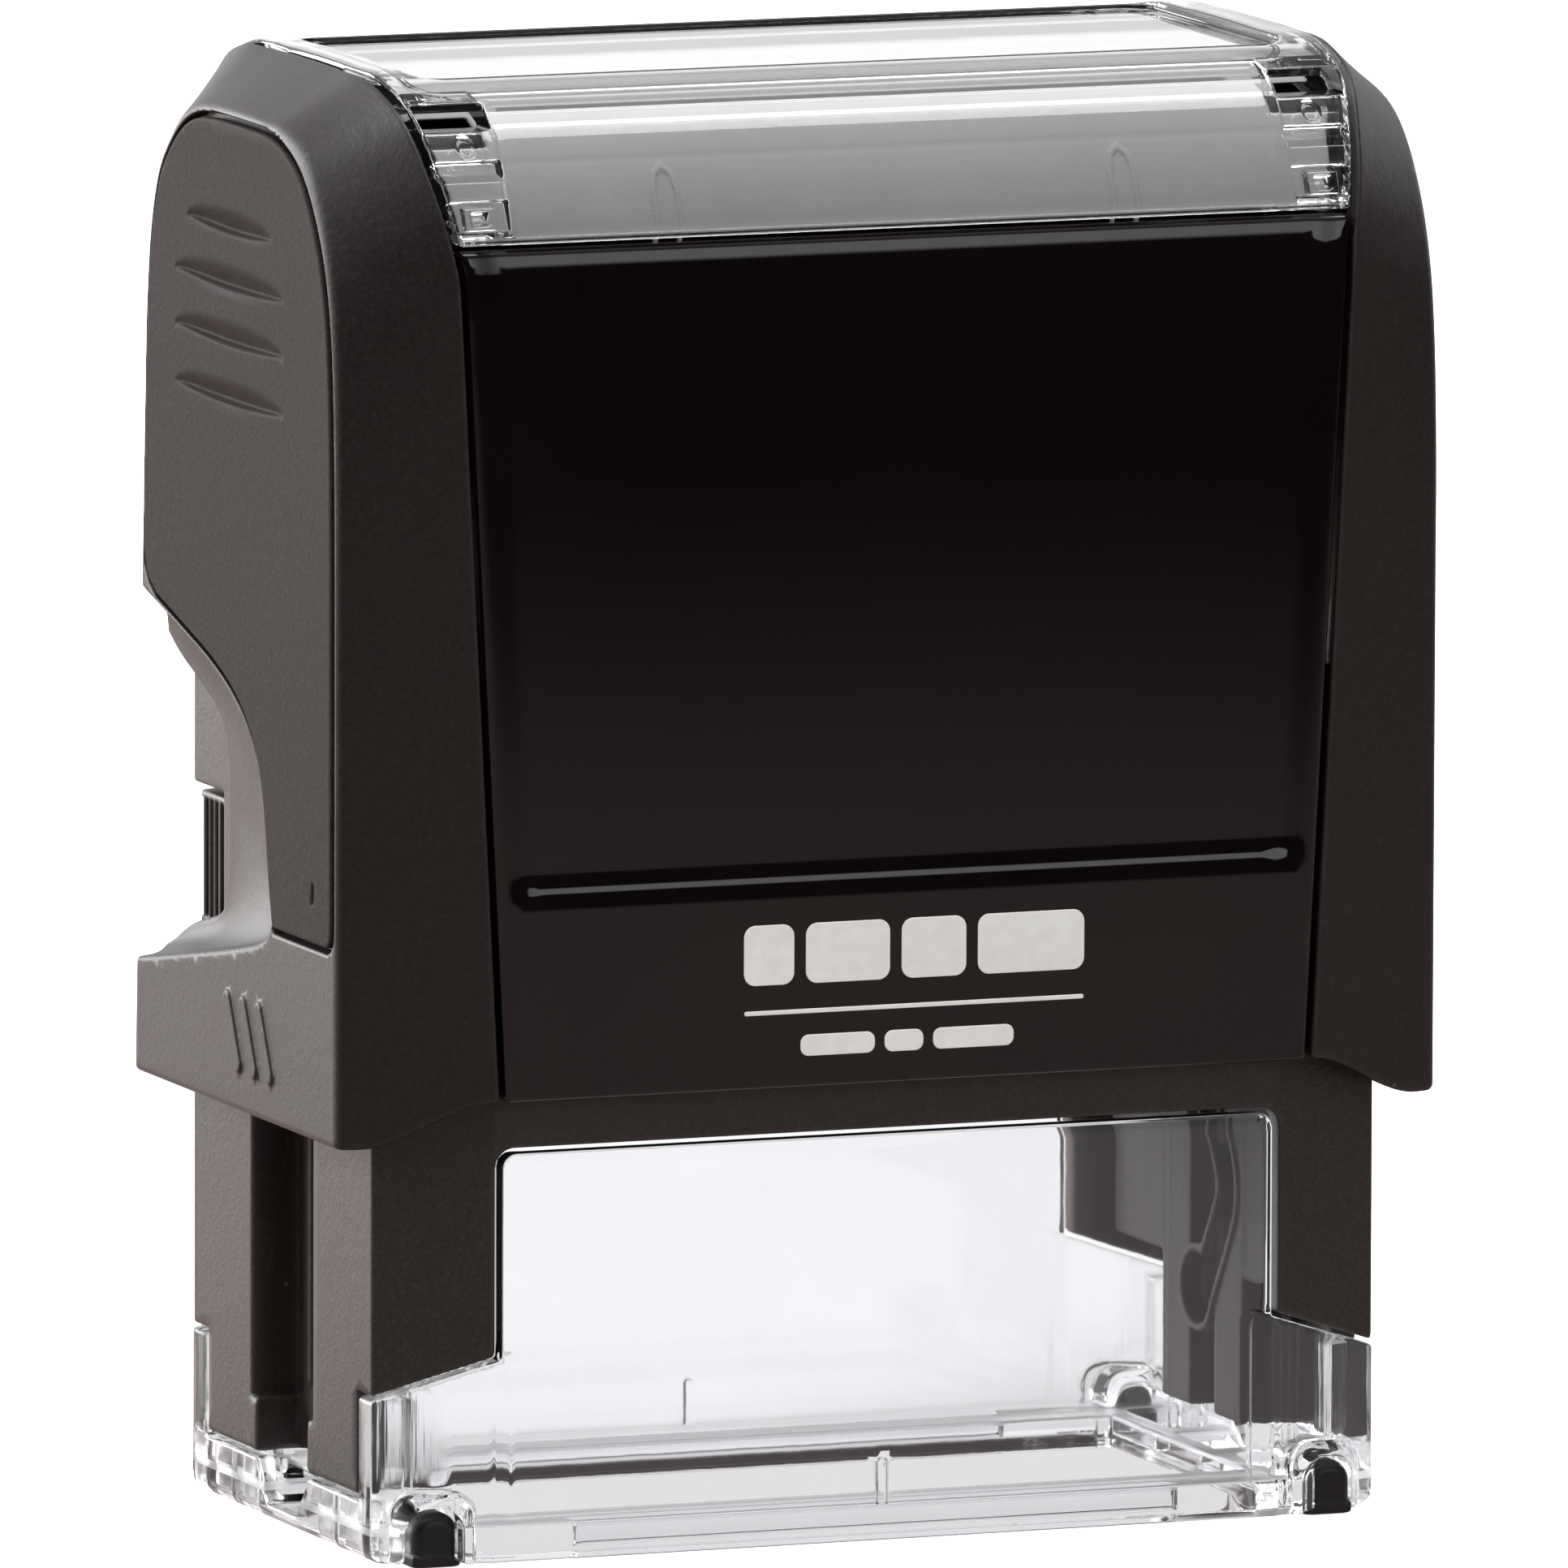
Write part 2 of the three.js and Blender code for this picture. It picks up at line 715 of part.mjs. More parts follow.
function bow() {
  const arm = [
    [4.6, BOW_ROOF_Z1 - 0.5],
    [-4.6, BOW_ROOF_Z1 - 0.5],
    [-4.6, 32.0],
  ];
  for (let i = 0; i <= 10; i++) {
    const a = Math.PI + (Math.PI * i) / 10;
    arm.push([3.0 * Math.cos(a), AXLE_Z + 3.0 * Math.sin(a)]);
  }
  arm.push([4.6, 32.0]);
  let s = box(-30, 30, -9, 9, BOW_ROOF_Z0, BOW_ROOF_Z1);
  for (const side of [-1, 1]) {
    const x = (a, b) => (side < 0 ? [-b, -a] : [a, b]);
    s = s.add(prismX(arm, ...x(28.6, 30.0)));
    s = s.subtract(cylinderX(AXLE_R + 0.3, ...x(28, 31), 0, AXLE_Z));
  }
  // spring guide
  return s.add(cylinderZ(4.4, BOW_ROOF_Z0 - 5, BOW_ROOF_Z0 + 0.2, 0, 0));
}

const windowCover = () =>
  band(0, 1.6, PANEL_TOP + GAP, 90).intersect(seamRegion(0.3));
const indexCard = () =>
  band(1.9, 2.3, PANEL_TOP + 0.9, 90).intersect(box(-24.5, 24.5, -30, 30, 0, 99));

function latchBar() {
  let s = box(-24.7, 24.7, CAP_Y - 1.6, CAP_Y, PANEL_LOW, 31.2);
  for (const side of [-1, 1])
    s = s.subtract(
      box(side * 15.5 - 3.6, side * 15.5 + 3.6, 17, 22, 27.9, 30.6),
    );
  return s;
}
const lockButton = () => box(-3.3, 3.3, -2.1, 0, -1.05, 1.05);

class Helix extends THREE.Curve {
  constructor(radius, height, turns) {
    super();
    this.radius = radius;
    this.height = height;
    this.turns = turns;
  }
  getPoint(t, target = new THREE.Vector3()) {
    const a = 2 * Math.PI * this.turns * t;
    return target.set(
      this.radius * Math.cos(a),
      this.radius * Math.sin(a),
      this.height * t,
    );
  }
}
function spring(z0, z1) {
  const section = new THREE.Shape(
    Array.from({ length: 6 }, (_, i) => {
      const a = (Math.PI * i) / 3;
      return new THREE.Vector2(WIRE_R * Math.cos(a), WIRE_R * Math.sin(a));
    }),
  );
  const g = new THREE.ExtrudeGeometry(section, {
    steps: SPRING_TURNS * 12,
    bevelEnabled: false,
    extrudePath: new Helix(SPRING_R, z1 - z0 - 2 * WIRE_R, SPRING_TURNS),
  });
  g.translate(0, 0, z0 + WIRE_R);
  const s = solid(g);
  return s.volume() < 0 ? mirrored(s) : s;
}

// ---- assembly -------------------------------------------------------------------------
const stamp = new THREE.Group();
const housing = new THREE.Group();
const cap = new THREE.Group();
const flipper = new THREE.Group();
const inkDrawer = new THREE.Group();
stamp.add(housing, cap, flipper, inkDrawer);

housing.add(mesh("base_foot_clear", base(), CLEAR()));
housing.add(mesh("lower_frame", frameSolid(), MATTE_FRAME()));
for (const [name, x, y] of [
  ["anti_slip_foot_front_left", -27.7, -15.3],
  ["anti_slip_foot_front_right", 27.7, -15.3],
  ["anti_slip_foot_rear_left", -27.7, 15.3],
  ["anti_slip_foot_rear_right", 27.7, 15.3],
]) {
  const m = mesh(name, foot(), RUBBER());
  m.position.set(x, y, 0);
  housing.add(m);
}
housing.add(mesh("main_spring", spring(DECK_Z1 + GAP, BOW_ROOF_Z0 - GAP), STEEL()));

cap.add(mesh("cap_shell", capShell(), GLOSS()));
const right = armCover();
cap.add(mesh("arm_cover_right", right, MATTE()));
cap.add(mesh("arm_cover_left", mirrored(right), MATTE()));
const gripRight = grip();
cap.add(mesh("grip_inset_right", gripRight, MATTE()));
cap.add(mesh("grip_inset_left", mirrored(gripRight), MATTE()));
cap.add(mesh("inner_bow", bow(), MATTE_FRAME()));
cap.add(mesh("index_card", indexCard(), standard(0xb4b2b0, 0.8)));
cap.add(mesh("index_window_cover", windowCover(), CLEAR()));
cap.add(mesh("rear_latch_bar", latchBar(), GLOSS()));
for (const [name, x] of [
  ["lock_button_left", -15.5],
  ["lock_button_right", 15.5],
]) {
  const m = mesh(name, lockButton(), MATTE());
  m.position.set(x, CAP_Y, 29.25);
  cap.add(m);
}

flipper.position.set(0, 0, AXLE_Z);
flipper.add(mesh("die_carrier", carrier(), MATTE_FRAME()));
flipper.add(mesh("die_cushion_tape", dieTape(), standard(0x5a5552, 0.9)));
flipper.add(mesh("die_rubber_plate", diePlate(), standard(0x8a2f2a, 0.75)));

inkDrawer.add(mesh("ink_cartridge_tray", cartridge(), MATTE_FRAME()));
inkDrawer.add(
  mesh(
    "ink_pad",
    box(-24.1, 24.1, -9.4, 9.4, PAD_FACE, 38.3),
    standard(0x16141c, 0.95),
  ),
);

export default stamp;
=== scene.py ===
import math

import bmesh
import bpy
import numpy as np
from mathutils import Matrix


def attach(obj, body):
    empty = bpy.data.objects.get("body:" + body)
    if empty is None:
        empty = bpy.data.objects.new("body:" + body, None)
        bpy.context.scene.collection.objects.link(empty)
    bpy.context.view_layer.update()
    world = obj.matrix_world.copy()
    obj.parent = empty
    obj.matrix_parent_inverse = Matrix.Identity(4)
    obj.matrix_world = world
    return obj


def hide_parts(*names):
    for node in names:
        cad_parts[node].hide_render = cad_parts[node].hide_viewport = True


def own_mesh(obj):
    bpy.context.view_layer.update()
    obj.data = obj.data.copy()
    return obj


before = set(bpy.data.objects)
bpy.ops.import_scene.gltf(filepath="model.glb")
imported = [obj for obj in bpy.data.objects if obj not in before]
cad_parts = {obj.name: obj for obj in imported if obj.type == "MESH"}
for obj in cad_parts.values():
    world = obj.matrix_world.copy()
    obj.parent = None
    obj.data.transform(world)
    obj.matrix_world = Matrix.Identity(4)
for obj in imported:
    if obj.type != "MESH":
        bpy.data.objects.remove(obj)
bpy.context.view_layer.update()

import openvdb
from mathutils import Matrix, Vector

F32 = np.float32
COARSE = 1.0

# ---------------------------------------------------------------- dimensions, millimetres
CAP_X, CAP_Y, CAP_TOP = 34.1, 20.0, 85.85
ARM_LOW, PANEL_LOW, PANEL_TOP = 24.6, 27.3, 76.5
FRAME_X, FRAME_SIDE_Y, FRAME_FRONT_X, FRAME_Y = 31.1, 14.8, 24.3, 17.1
FRAME_WALL, FRAME_TOP, WINDOW_TOP, LEG_LOW = 1.6, 50.4, 24.2, 3.8
SLOT_Y, CHANNEL_IN, CHANNEL_FLOOR, TRACK_DEPTH = 5.0, 26.2, 28.2, 0.9
AXLE_Z, FOLLOWER_R, PIN_R, STROKE = 29.0, 4.2, 0.8, 23.0
CART_Z0, CART_Z1, CART_HEAD_X, PAD_FACE = 33.4, 41.3, 30.7, 35.2
BACK_LOW, BACK_HIGH = 31.3, 52.5
DECK_Z0, DECK_Z1 = 42.0, 43.4
BOW_ROOF_Z0, SPRING_R, WIRE_R, TURNS = 79.9, 5.5, 0.45, 10

SHOULDER = [(20.0, 20.0), (20.0, 40.0), (20.0, 55.0), (20.0, 64.0), (20.0, 70.5), (19.9, 74.6),
            (19.2, 77.9), (17.6, 81.0), (15.0, 84.0), (10.5, 85.6), (5.0, 85.85)]
SIDE_FACE = [(16.95, 20.0), (16.16, 40.0), (15.58, 55.0), (15.2, 64.0), (14.8, 70.5), (14.0, 75.0),
             (12.7, 78.1), (11.2, 79.7), (9.2, 81.2), (7.0, 82.1), (4.0, 82.5),
             (-4.0, 82.5), (-7.0, 82.3), (-10.2, 81.3), (-12.4, 79.6), (-14.6, 76.4), (-15.9, 73.0),
             (-16.6, 69.0), (-17.0, 62.0), (-17.0, 55.0), (-17.0, 40.0), (-17.0, 20.0)]
PROFILE = SHOULDER + [(-y, z) for y, z in reversed(SHOULDER)]
NOTCH_OUTER = [(21, 30.6), (21, 54.6), (15.6, 53.2), (9.0, 51.5), (3.2, 49.9), (-0.6, 48.1), (-3.2, 46.2),
               (-4.6, 43.6), (-5.4, 40.2), (-5.9, 37.6), (-6.1, 35.9), (-4.6, 34.9), (0, 34.0), (5.5, 33.1),
               (11, 32.2), (16.7, 31.3)]
NOTCH_INNER = [(21, 30.9), (21, 52.6), (15.4, 49.3), (11.5, 48.0), (8.6, 46.9), (7.3, 45.7), (6.9, 44.0),
               (6.85, 42.0), (6.85, 39.5), (6.9, 37.2), (7.1, 35.6), (8.1, 34.9), (9.6, 34.5), (11.5, 34.1),
               (13.5, 33.5), (16.7, 32.0)]
GRIP = [(-6.9, 36.1), (-6.5, 36.15), (-6.35, 36.9), (-6.0, 38.2), (-5.55, 40.7), (-4.9, 43.9), (-3.5, 46.7), (-0.9, 48.8), (3.1, 50.5),
        (9.0, 52.1), (15.0, 53.7), (14.75, 60.0), (14.5, 66.0), (14.25, 70.5), (13.5, 74.8), (12.3, 77.7),
        (10.9, 79.2), (9.0, 80.7), (6.9, 81.6), (4.0, 82.0), (-4.0, 82.0), (-6.9, 81.8), (-9.9, 80.8),
        (-12.0, 79.2), (-14.1, 76.2), (-15.3, 72.9), (-15.9, 69.0), (-16.2, 62.0), (-16.2, 50.0),
        (-16.2, 38.2), (-16.2, 37.2), (-16.1, 36.5), (-15.5, 36.1), (-14.8, 36.1)]


def seam_x(z):
    z = np.asarray(z, F32)
    return np.where(z < 28, 25.0, np.where(z < 75, 25.0 + (z - 28) / 47 * 2.4,
                                           27.4 + (np.minimum(z, CAP_TOP) - 75) / (CAP_TOP - 75) * 2.1)).astype(F32)


# ---------------------------------------------------------------- distance fields
class Field:
    """A regular grid over a box, in millimetres, with its three axes as broadcastable arrays."""

    def __init__(self, lo, hi, h):
        h = h * COARSE
        lo = np.array(lo, float) - 2.5 * h
        hi = np.array(hi, float) + 2.5 * h
        n = np.ceil((hi - lo) / h).astype(int) + 1
        self.h, self.lo, self.n = h, lo, n
        ax = [(lo[k] + h * np.arange(n[k])).astype(F32) for k in range(3)]
        self.X, self.Y, self.Z = ax[0][:, None, None], ax[1][None, :, None], ax[2][None, None, :]


def isect(a, b, r=0.0):
    """Common part of two solids, its new edge rounded by r."""
    m = np.maximum(a, b)
    if r <= 0:
        return m
    u = np.maximum(a + F32(r), 0)
    v = np.maximum(b + F32(r), 0)
    return np.minimum(m, F32(-r)) + np.sqrt(u * u + v * v)


def union(a, b, r=0.0):
    m = np.minimum(a, b)
    if r <= 0:
        return m
    u = np.maximum(F32(r) - a, 0)
    v = np.maximum(F32(r) - b, 0)
    return np.maximum(m, F32(r)) - np.sqrt(u * u + v * v)


def cut(a, b, r=0.0):
    return isect(a, -b, r)


def slab(t, a, b):
    return np.maximum(F32(a) - t, t - F32(b))


def box(f, x0, x1, y0, y1, z0, z1, r=0.0):
    if r <= 0:
        return np.maximum(np.maximum(slab(f.X, x0, x1), slab(f.Y, y0, y1)), slab(f.Z, z0, z1))
    a = slab(f.X, x0, x1) + F32(r)
    b = slab(f.Y, y0, y1) + F32(r)
    c = slab(f.Z, z0, z1) + F32(r)
    out = np.sqrt(np.maximum(a, 0) ** 2 + np.maximum(b, 0) ** 2 + np.maximum(c, 0) ** 2)
    return out + np.minimum(np.maximum(np.maximum(a, b), c), 0) - F32(r)


def poly2(u, v, pts):
    """Signed distance to a closed polygon on the grid of column u (n, 1) and row v (1, m)."""
    d = np.full(np.broadcast(u, v).shape, 1e9, F32)
    inside = np.zeros(d.shape, bool)
    n = len(pts)
    for i in range(n):
        ax, ay = pts[i]
        bx, by = pts[(i + 1) % n]
        ex, ey = bx - ax, by - ay
        l2 = ex * ex + ey * ey
        if l2 < 1e-12:
            continue
        wx, wy = u - F32(ax), v - F32(ay)
        t = np.clip((wx * F32(ex) + wy * F32(ey)) / F32(l2), 0, 1)
        dx, dy = wx - F32(ex) * t, wy - F32(ey) * t
        d = np.minimum(d, dx * dx + dy * dy)
        if abs(ey) > 1e-9:
            cond = ((ay <= v) & (by > v)) | ((by <= v) & (ay > v))
            inside ^= cond & (u < ax + (v - ay) * (ex / ey))
    d = np.sqrt(d)
    return np.where(inside, -d, d).astype(F32)


def upsample(a, u0, v0, u1, v1):
    """Bilinear resampling of a from axes u0, v0 to axes u1, v1."""
    iu = np.clip(np.searchsorted(u0, u1) - 1, 0, len(u0) - 2)
    fu = ((u1 - u0[iu]) / (u0[iu + 1] - u0[iu]))[:, None].astype(F32)
    b = a[iu] * (1 - fu) + a[iu + 1] * fu
    iv = np.clip(np.searchsorted(v0, v1) - 1, 0, len(v0) - 2)
    fv = ((v1 - v0[iv]) / (v0[iv + 1] - v0[iv]))[None, :].astype(F32)
    return (b[:, iv] * (1 - fv) + b[:, iv + 1] * fv).astype(F32)


def prism_yz(f, pts, fast=2):
    y, z = f.Y.ravel(), f.Z.ravel()
    y0 = np.append(y[::fast], y[-1] + f.h).astype(F32)
    z0 = np.append(z[::fast], z[-1] + f.h).astype(F32)
    return upsample(poly2(y0[:, None], z0[None, :], pts), y0, z0, y, z)[None]


def prism_xz(f, pts):
    return poly2(f.X.reshape(-1, 1), f.Z.reshape(1, -1), pts)[:, None, :]


def prism_xy(f, pts):
    return poly2(f.X.reshape(-1, 1), f.Y.reshape(1, -1), pts)[:, :, None]


def chaikin(pts, times=2):
    p = np.array(pts, float)
    for _ in range(times):
        q = np.roll(p, -1, 0)
        p = np.stack([p * 0.75 + q * 0.25, p * 0.25 + q * 0.75], 1).reshape(-1, 2)
    return [tuple(v) for v in p]


def spline(pts, per=5):
    """Catmull-Rom through the points of an open outline, which is closed by its last edge."""
    p = np.array(pts, float)
    e = np.vstack([2 * p[0] - p[1], p, 2 * p[-1] - p[-2]])
    out = []
    for i in range(1, len(e) - 2):
        a, b, c, d = e[i - 1], e[i], e[i + 1], e[i + 2]
        ks = [0.0] + [max(np.linalg.norm(v), 1e-6) ** 0.5 for v in (b - a, c - b, d - c)]
        t0, t1, t2, t3 = np.cumsum(ks)
        for s in range(per):
            t = t1 + (t2 - t1) * s / per
            a1 = (t1 - t) / (t1 - t0) * a + (t - t0) / (t1 - t0) * b
            a2 = (t2 - t) / (t2 - t1) * b + (t - t1) / (t2 - t1) * c
            a3 = (t3 - t) / (t3 - t2) * c + (t - t2) / (t3 - t2) * d
            b1 = (t2 - t) / (t2 - t0) * a1 + (t - t0) / (t2 - t0) * a2
            b2 = (t3 - t) / (t3 - t1) * a2 + (t - t1) / (t3 - t1) * a3
            out.append(tuple((t2 - t) / (t2 - t1) * b1 + (t - t1) / (t2 - t1) * b2))
    out.append(tuple(p[-1]))
    return out


def offset(pts, t):
    """A counter-clockwise outline moved inwards by t."""
    p = np.array(pts, float)
    a, b = np.roll(p, 1, 0), np.roll(p, -1, 0)
    u, v = p - a, b - p
    u /= np.linalg.norm(u, axis=1)[:, None] + 1e-12
    v /= np.linalg.norm(v, axis=1)[:, None] + 1e-12
    m = np.stack([-u[:, 1] - v[:, 1], u[:, 0] + v[:, 0]], 1)
    return [tuple(q) for q in p + m * (2 * t / (m * m).sum(1))[:, None]]


PROFILE_S = spline(PROFILE, 6)
SIDE_S = spline(SIDE_FACE, 6)


def smooth(t):
    t = np.clip(t, 0, 1)
    return t * t * (3 - 2 * t)


def line_dist(f2u, f2v, pts):
    """Unsigned distance to an open polyline."""
    d = np.full(np.broadcast(f2u, f2v).shape, 1e9, F32)
    for (ax, ay), (bx, by) in zip(pts[:-1], pts[1:]):
        ex, ey = bx - ax, by - ay
        l2 = max(ex * ex + ey * ey, 1e-12)
        wx, wy = f2u - F32(ax), f2v - F32(ay)
        t = np.clip((wx * F32(ex) + wy * F32(ey)) / F32(l2), 0, 1)
        dx, dy = wx - F32(ex) * t, wy - F32(ey) * t
        d = np.minimum(d, dx * dx + dy * dy)
    return np.sqrt(d)


def sample(a, p):
    """Trilinear samples of the array a at the index points p."""
    n = np.array(a.shape)
    i = np.clip(np.floor(p).astype(int), 0, n - 2)
    t = (p - i).astype(F32)
    out = 0
    for dx in (0, 1):
        for dy in (0, 1):
            for dz in (0, 1):
                w = (t[:, 0] if dx else 1 - t[:, 0]) * (t[:, 1] if dy else 1 - t[:, 1]) * (t[:, 2] if dz else 1 - t[:, 2])
                out = out + w * a[i[:, 0] + dx, i[:, 1] + dy, i[:, 2] + dz]
    return out


def build_mesh(name, co, tris, quads, normals=None, wear=None):
    me = bpy.data.meshes.new(name)
    nt, nq = len(tris), len(quads)
    me.vertices.add(len(co))
    me.vertices.foreach_set("co", np.ascontiguousarray(co, F32).ravel())
    loops = np.concatenate([np.asarray(tris, np.int32).ravel(), np.asarray(quads, np.int32).ravel()])
    me.loops.add(len(loops))
    me.loops.foreach_set("vertex_index", loops)
    starts = np.concatenate([np.arange(nt) * 3, nt * 3 + np.arange(nq) * 4]).astype(np.int32)
    me.polygons.add(nt + nq)
    me.polygons.foreach_set("loop_start", starts)
    me.update(calc_edges=True)
    me.validate(verbose=False)
    me.polygons.foreach_set("use_smooth", np.ones(len(me.polygons), bool))
    if wear is not None:
        a = me.attributes.new("wear", "FLOAT", "POINT")
        a.data.foreach_set("value", np.ascontiguousarray(wear, F32))
    if normals is not None and len(me.vertices) == len(normals):
        me.normals_split_custom_set_from_vertices(np.ascontiguousarray(normals, F32))
    ob = bpy.data.objects.new(name, me)
    bpy.context.scene.collection.objects.link(ob)
    return ob


MIRROR = {}


def polygonize(name, f, d, adapt=0.02, mirror=None, project=True):
    """The zero surface of d as a closed mesh object. With mirror, a second object is its image in X."""
    d = np.ascontiguousarray(np.clip(np.broadcast_to(d, tuple(f.n)), F32(-3 * f.h), F32(3 * f.h)), F32)
    g = openvdb.FloatGrid()
    g.background = float(f.h * 3)
    for k in range(3):
        s = [slice(None)] * 3
        for e in (0, -1):
            s[k] = e
            d[tuple(s)] = np.maximum(d[tuple(s)], F32(0.2 * f.h))
    g.copyFromArray(d, ijk=(0, 0, 0), tolerance=0.0)
    pts, tris, quads = g.convertToPolygons(isovalue=0.0, adaptivity=adapt)
    pts = np.array(pts, np.float64)
    eps = 0.6
    grad = np.zeros((len(pts), 3), F32)
    lap = -6 * sample(d, pts)
    for k in range(3):
        q = np.zeros(3)
        q[k] = eps
        hi, lo = sample(d, pts + q), sample(d, pts - q)
        grad[:, k] = hi - lo
    for k in range(3):
        q = np.zeros(3)
        q[k] = 1.0
        lap = lap + sample(d, pts + q) + sample(d, pts - q)
    norm = np.linalg.norm(grad, axis=1)[:, None] + 1e-9
    nrm = grad / norm
    wear = np.clip(lap / f.h * 0.9, -1, 1)
    co = (pts * f.h + f.lo) * 0.001
    tris = np.array(tris, np.int64).reshape(-1, 3)
    quads = np.array(quads, np.int64).reshape(-1, 4)
    # the faces are turned to point out of the solid
    if len(quads):
        a, b, c = (co[quads[:, k]] for k in (0, 1, 2))
        s = (np.cross(b - a, c - b) * nrm[quads[:, 0]]).sum()
    else:
        a, b, c = (co[tris[:, k]] for k in (0, 1, 2))
        s = (np.cross(b - a, c - b) * nrm[tris[:, 0]]).sum()
    if s < 0:
        tris, quads = tris[:, ::-1], quads[:, ::-1]
    ob = build_mesh(name, co, tris, quads, nrm, wear)
    if mirror:
        m = np.array([-1, 1, 1], F32)
        MIRROR[mirror] = build_mesh(mirror, co * m, tris[:, ::-1], quads[:, ::-1], nrm * m, wear)
    return ob


def both_halves(f, half):
    """A field computed for X from 0 up, completed by its mirror image; returns the whole field's grid and array."""
    g = Field.__new__(Field)
    n = f.n.copy()
    n[0] = 2 * f.n[0] - 1
    g.h, g.n = f.h, n
    g.lo = np.array([-(f.n[0] - 1) * f.h, f.lo[1], f.lo[2]])
    g.X = (g.lo[0] + g.h * np.arange(n[0])).astype(F32)[:, None, None]
    g.Y, g.Z = f.Y, f.Z
    half = np.broadcast_to(half, tuple(f.n))
    return g, np.concatenate([half[:0:-1], half], 0)


def half_field(hi, lo_yz, h):
    """A field whose X runs from exactly 0."""
    f = Field((0, lo_yz[0], lo_yz[1]), hi, h)
    n = int(math.ceil((hi[0] + 2.5 * f.h) / f.h)) + 1
    f.lo[0], f.n[0] = 0.0, n
    f.X = (f.h * np.arange(n)).astype(F32)[:, None, None]
    return f



# ---------------------------------------------------------------- side arm covers


def arm_cover():
    f = Field((24.9, -20.0, 24.4), (34.3, 20.0, 85.9), 0.135)
    X, Y, Z = f.X, f.Y, f.Z
    y, z = Y.ravel(), Z.ravel()
    y0 = np.append(y[::3], y[-1] + f.h).astype(F32)
    z0 = np.append(z[::3], z[-1] + f.h).astype(F32)
    steps = 9
    a, b = np.array(PROFILE_S), np.array(SIDE_S)
    stack = []
    for k in range(steps):
        t = k / (steps - 1)
        pts = [tuple(p) for p in a * (1 - t) + b * t]
        stack.append(upsample(poly2(y0[:, None], z0[None, :], pts), y0, z0, y, z))
    stack = np.stack(stack)
    t = np.clip((X[:, 0, :] - seam_x(Z[:, 0, :])) / (CAP_X - seam_x(Z[:, 0, :])), 0, 1) * (steps - 1)
    i = np.minimum(t.astype(int), steps - 2)
    w = (t - i).astype(F32)
    zi = np.arange(f.n[2])
    skin = np.empty(tuple(f.n), F32)
    for k in range(f.n[0]):
        lo = stack[i[k], :, zi].T
        hi = stack[i[k] + 1, :, zi].T
        skin[k] = lo * (1 - w[k]) + hi * w[k]
    skin *= F32(0.94)
    outer = isect(skin, X - F32(CAP_X), 0.5)
    outer = isect(outer, seam_x(Z) + F32(0.15) - X, 0.22)
    s = cut(outer, isect(skin + F32(1.5), X - F32(32.2), 0.3), 0.08)
    around = prism_yz(f, offset(NOTCH_OUTER, -1.2))
    s = union(s, isect(isect(around, slab(X, 31.5, 33.8)), outer + F32(0.1)), 0.2)
    del outer, skin
    # finger scoop
    do = -prism_yz(f, chaikin(NOTCH_OUTER, 3), 1)[0]
    di = prism_yz(f, chaikin(NOTCH_INNER, 3), 1)[0]
    share = np.clip(do / np.maximum(do + np.maximum(di, 0), 1e-3), 0, 1)
    depth = (2.15 * np.sqrt(1 - (1 - share) ** 2.2)).astype(F32)
    gy, gz = np.gradient(depth, f.h)
    slope = np.sqrt(1 + gy * gy + gz * gz)[None]
    hollow = isect(np.broadcast_to(-do[None], tuple(f.n)), (F32(CAP_X) - depth[None] - X) / slope)
    s = cut(s, hollow, 0.3)
    s = cut(s, di[None], 0.28)
    # lower edge
    low = (F32(ARM_LOW) + F32(2.7) * smooth((F32(32.9) - X) / F32(7.7)) - Z) * F32(0.93)
    s = isect(s, low, 0.4)
    # way out for the cartridge
    s = cut(s, box(f, 20, 31.25, 9.0, 26, BACK_LOW + 0.2, BACK_HIGH, 0.3), 0.2)
    s = cut(s, isect(prism_xz(f, [(20, 50), (31.6, 50), (31.6, 58.4), (30.6, 57.4), (26.5, 53.0), (20, 52.5)]), F32(15.5) - Y), 0.35)
    # recess of the grip
    s = cut(s, isect(prism_yz(f, chaikin(offset(GRIP, -0.32), 2), 1), F32(33.2) - X), 0.12)
    # plain raised mark: three round-ended bars
    mark = None
    for y0_, z0_, y1_, z1_ in ((-6.2, 27.4, -4.4, 31.0), (-3.6, 27.4, -1.8, 31.0), (-1.0, 27.4, 0.8, 31.0)):
        d2 = line_dist(Y[0], Z[0], [(y0_, z0_), (y1_, z1_)])[None] - F32(0.55)
        bar = isect(d2, slab(X, 33.8, 34.3), 0.15)
        mark = bar if mark is None else union(mark, bar)
    s = union(s, mark, 0.08)
    return polygonize("side_arm_right", f, s, 0.012, mirror="side_arm_left")


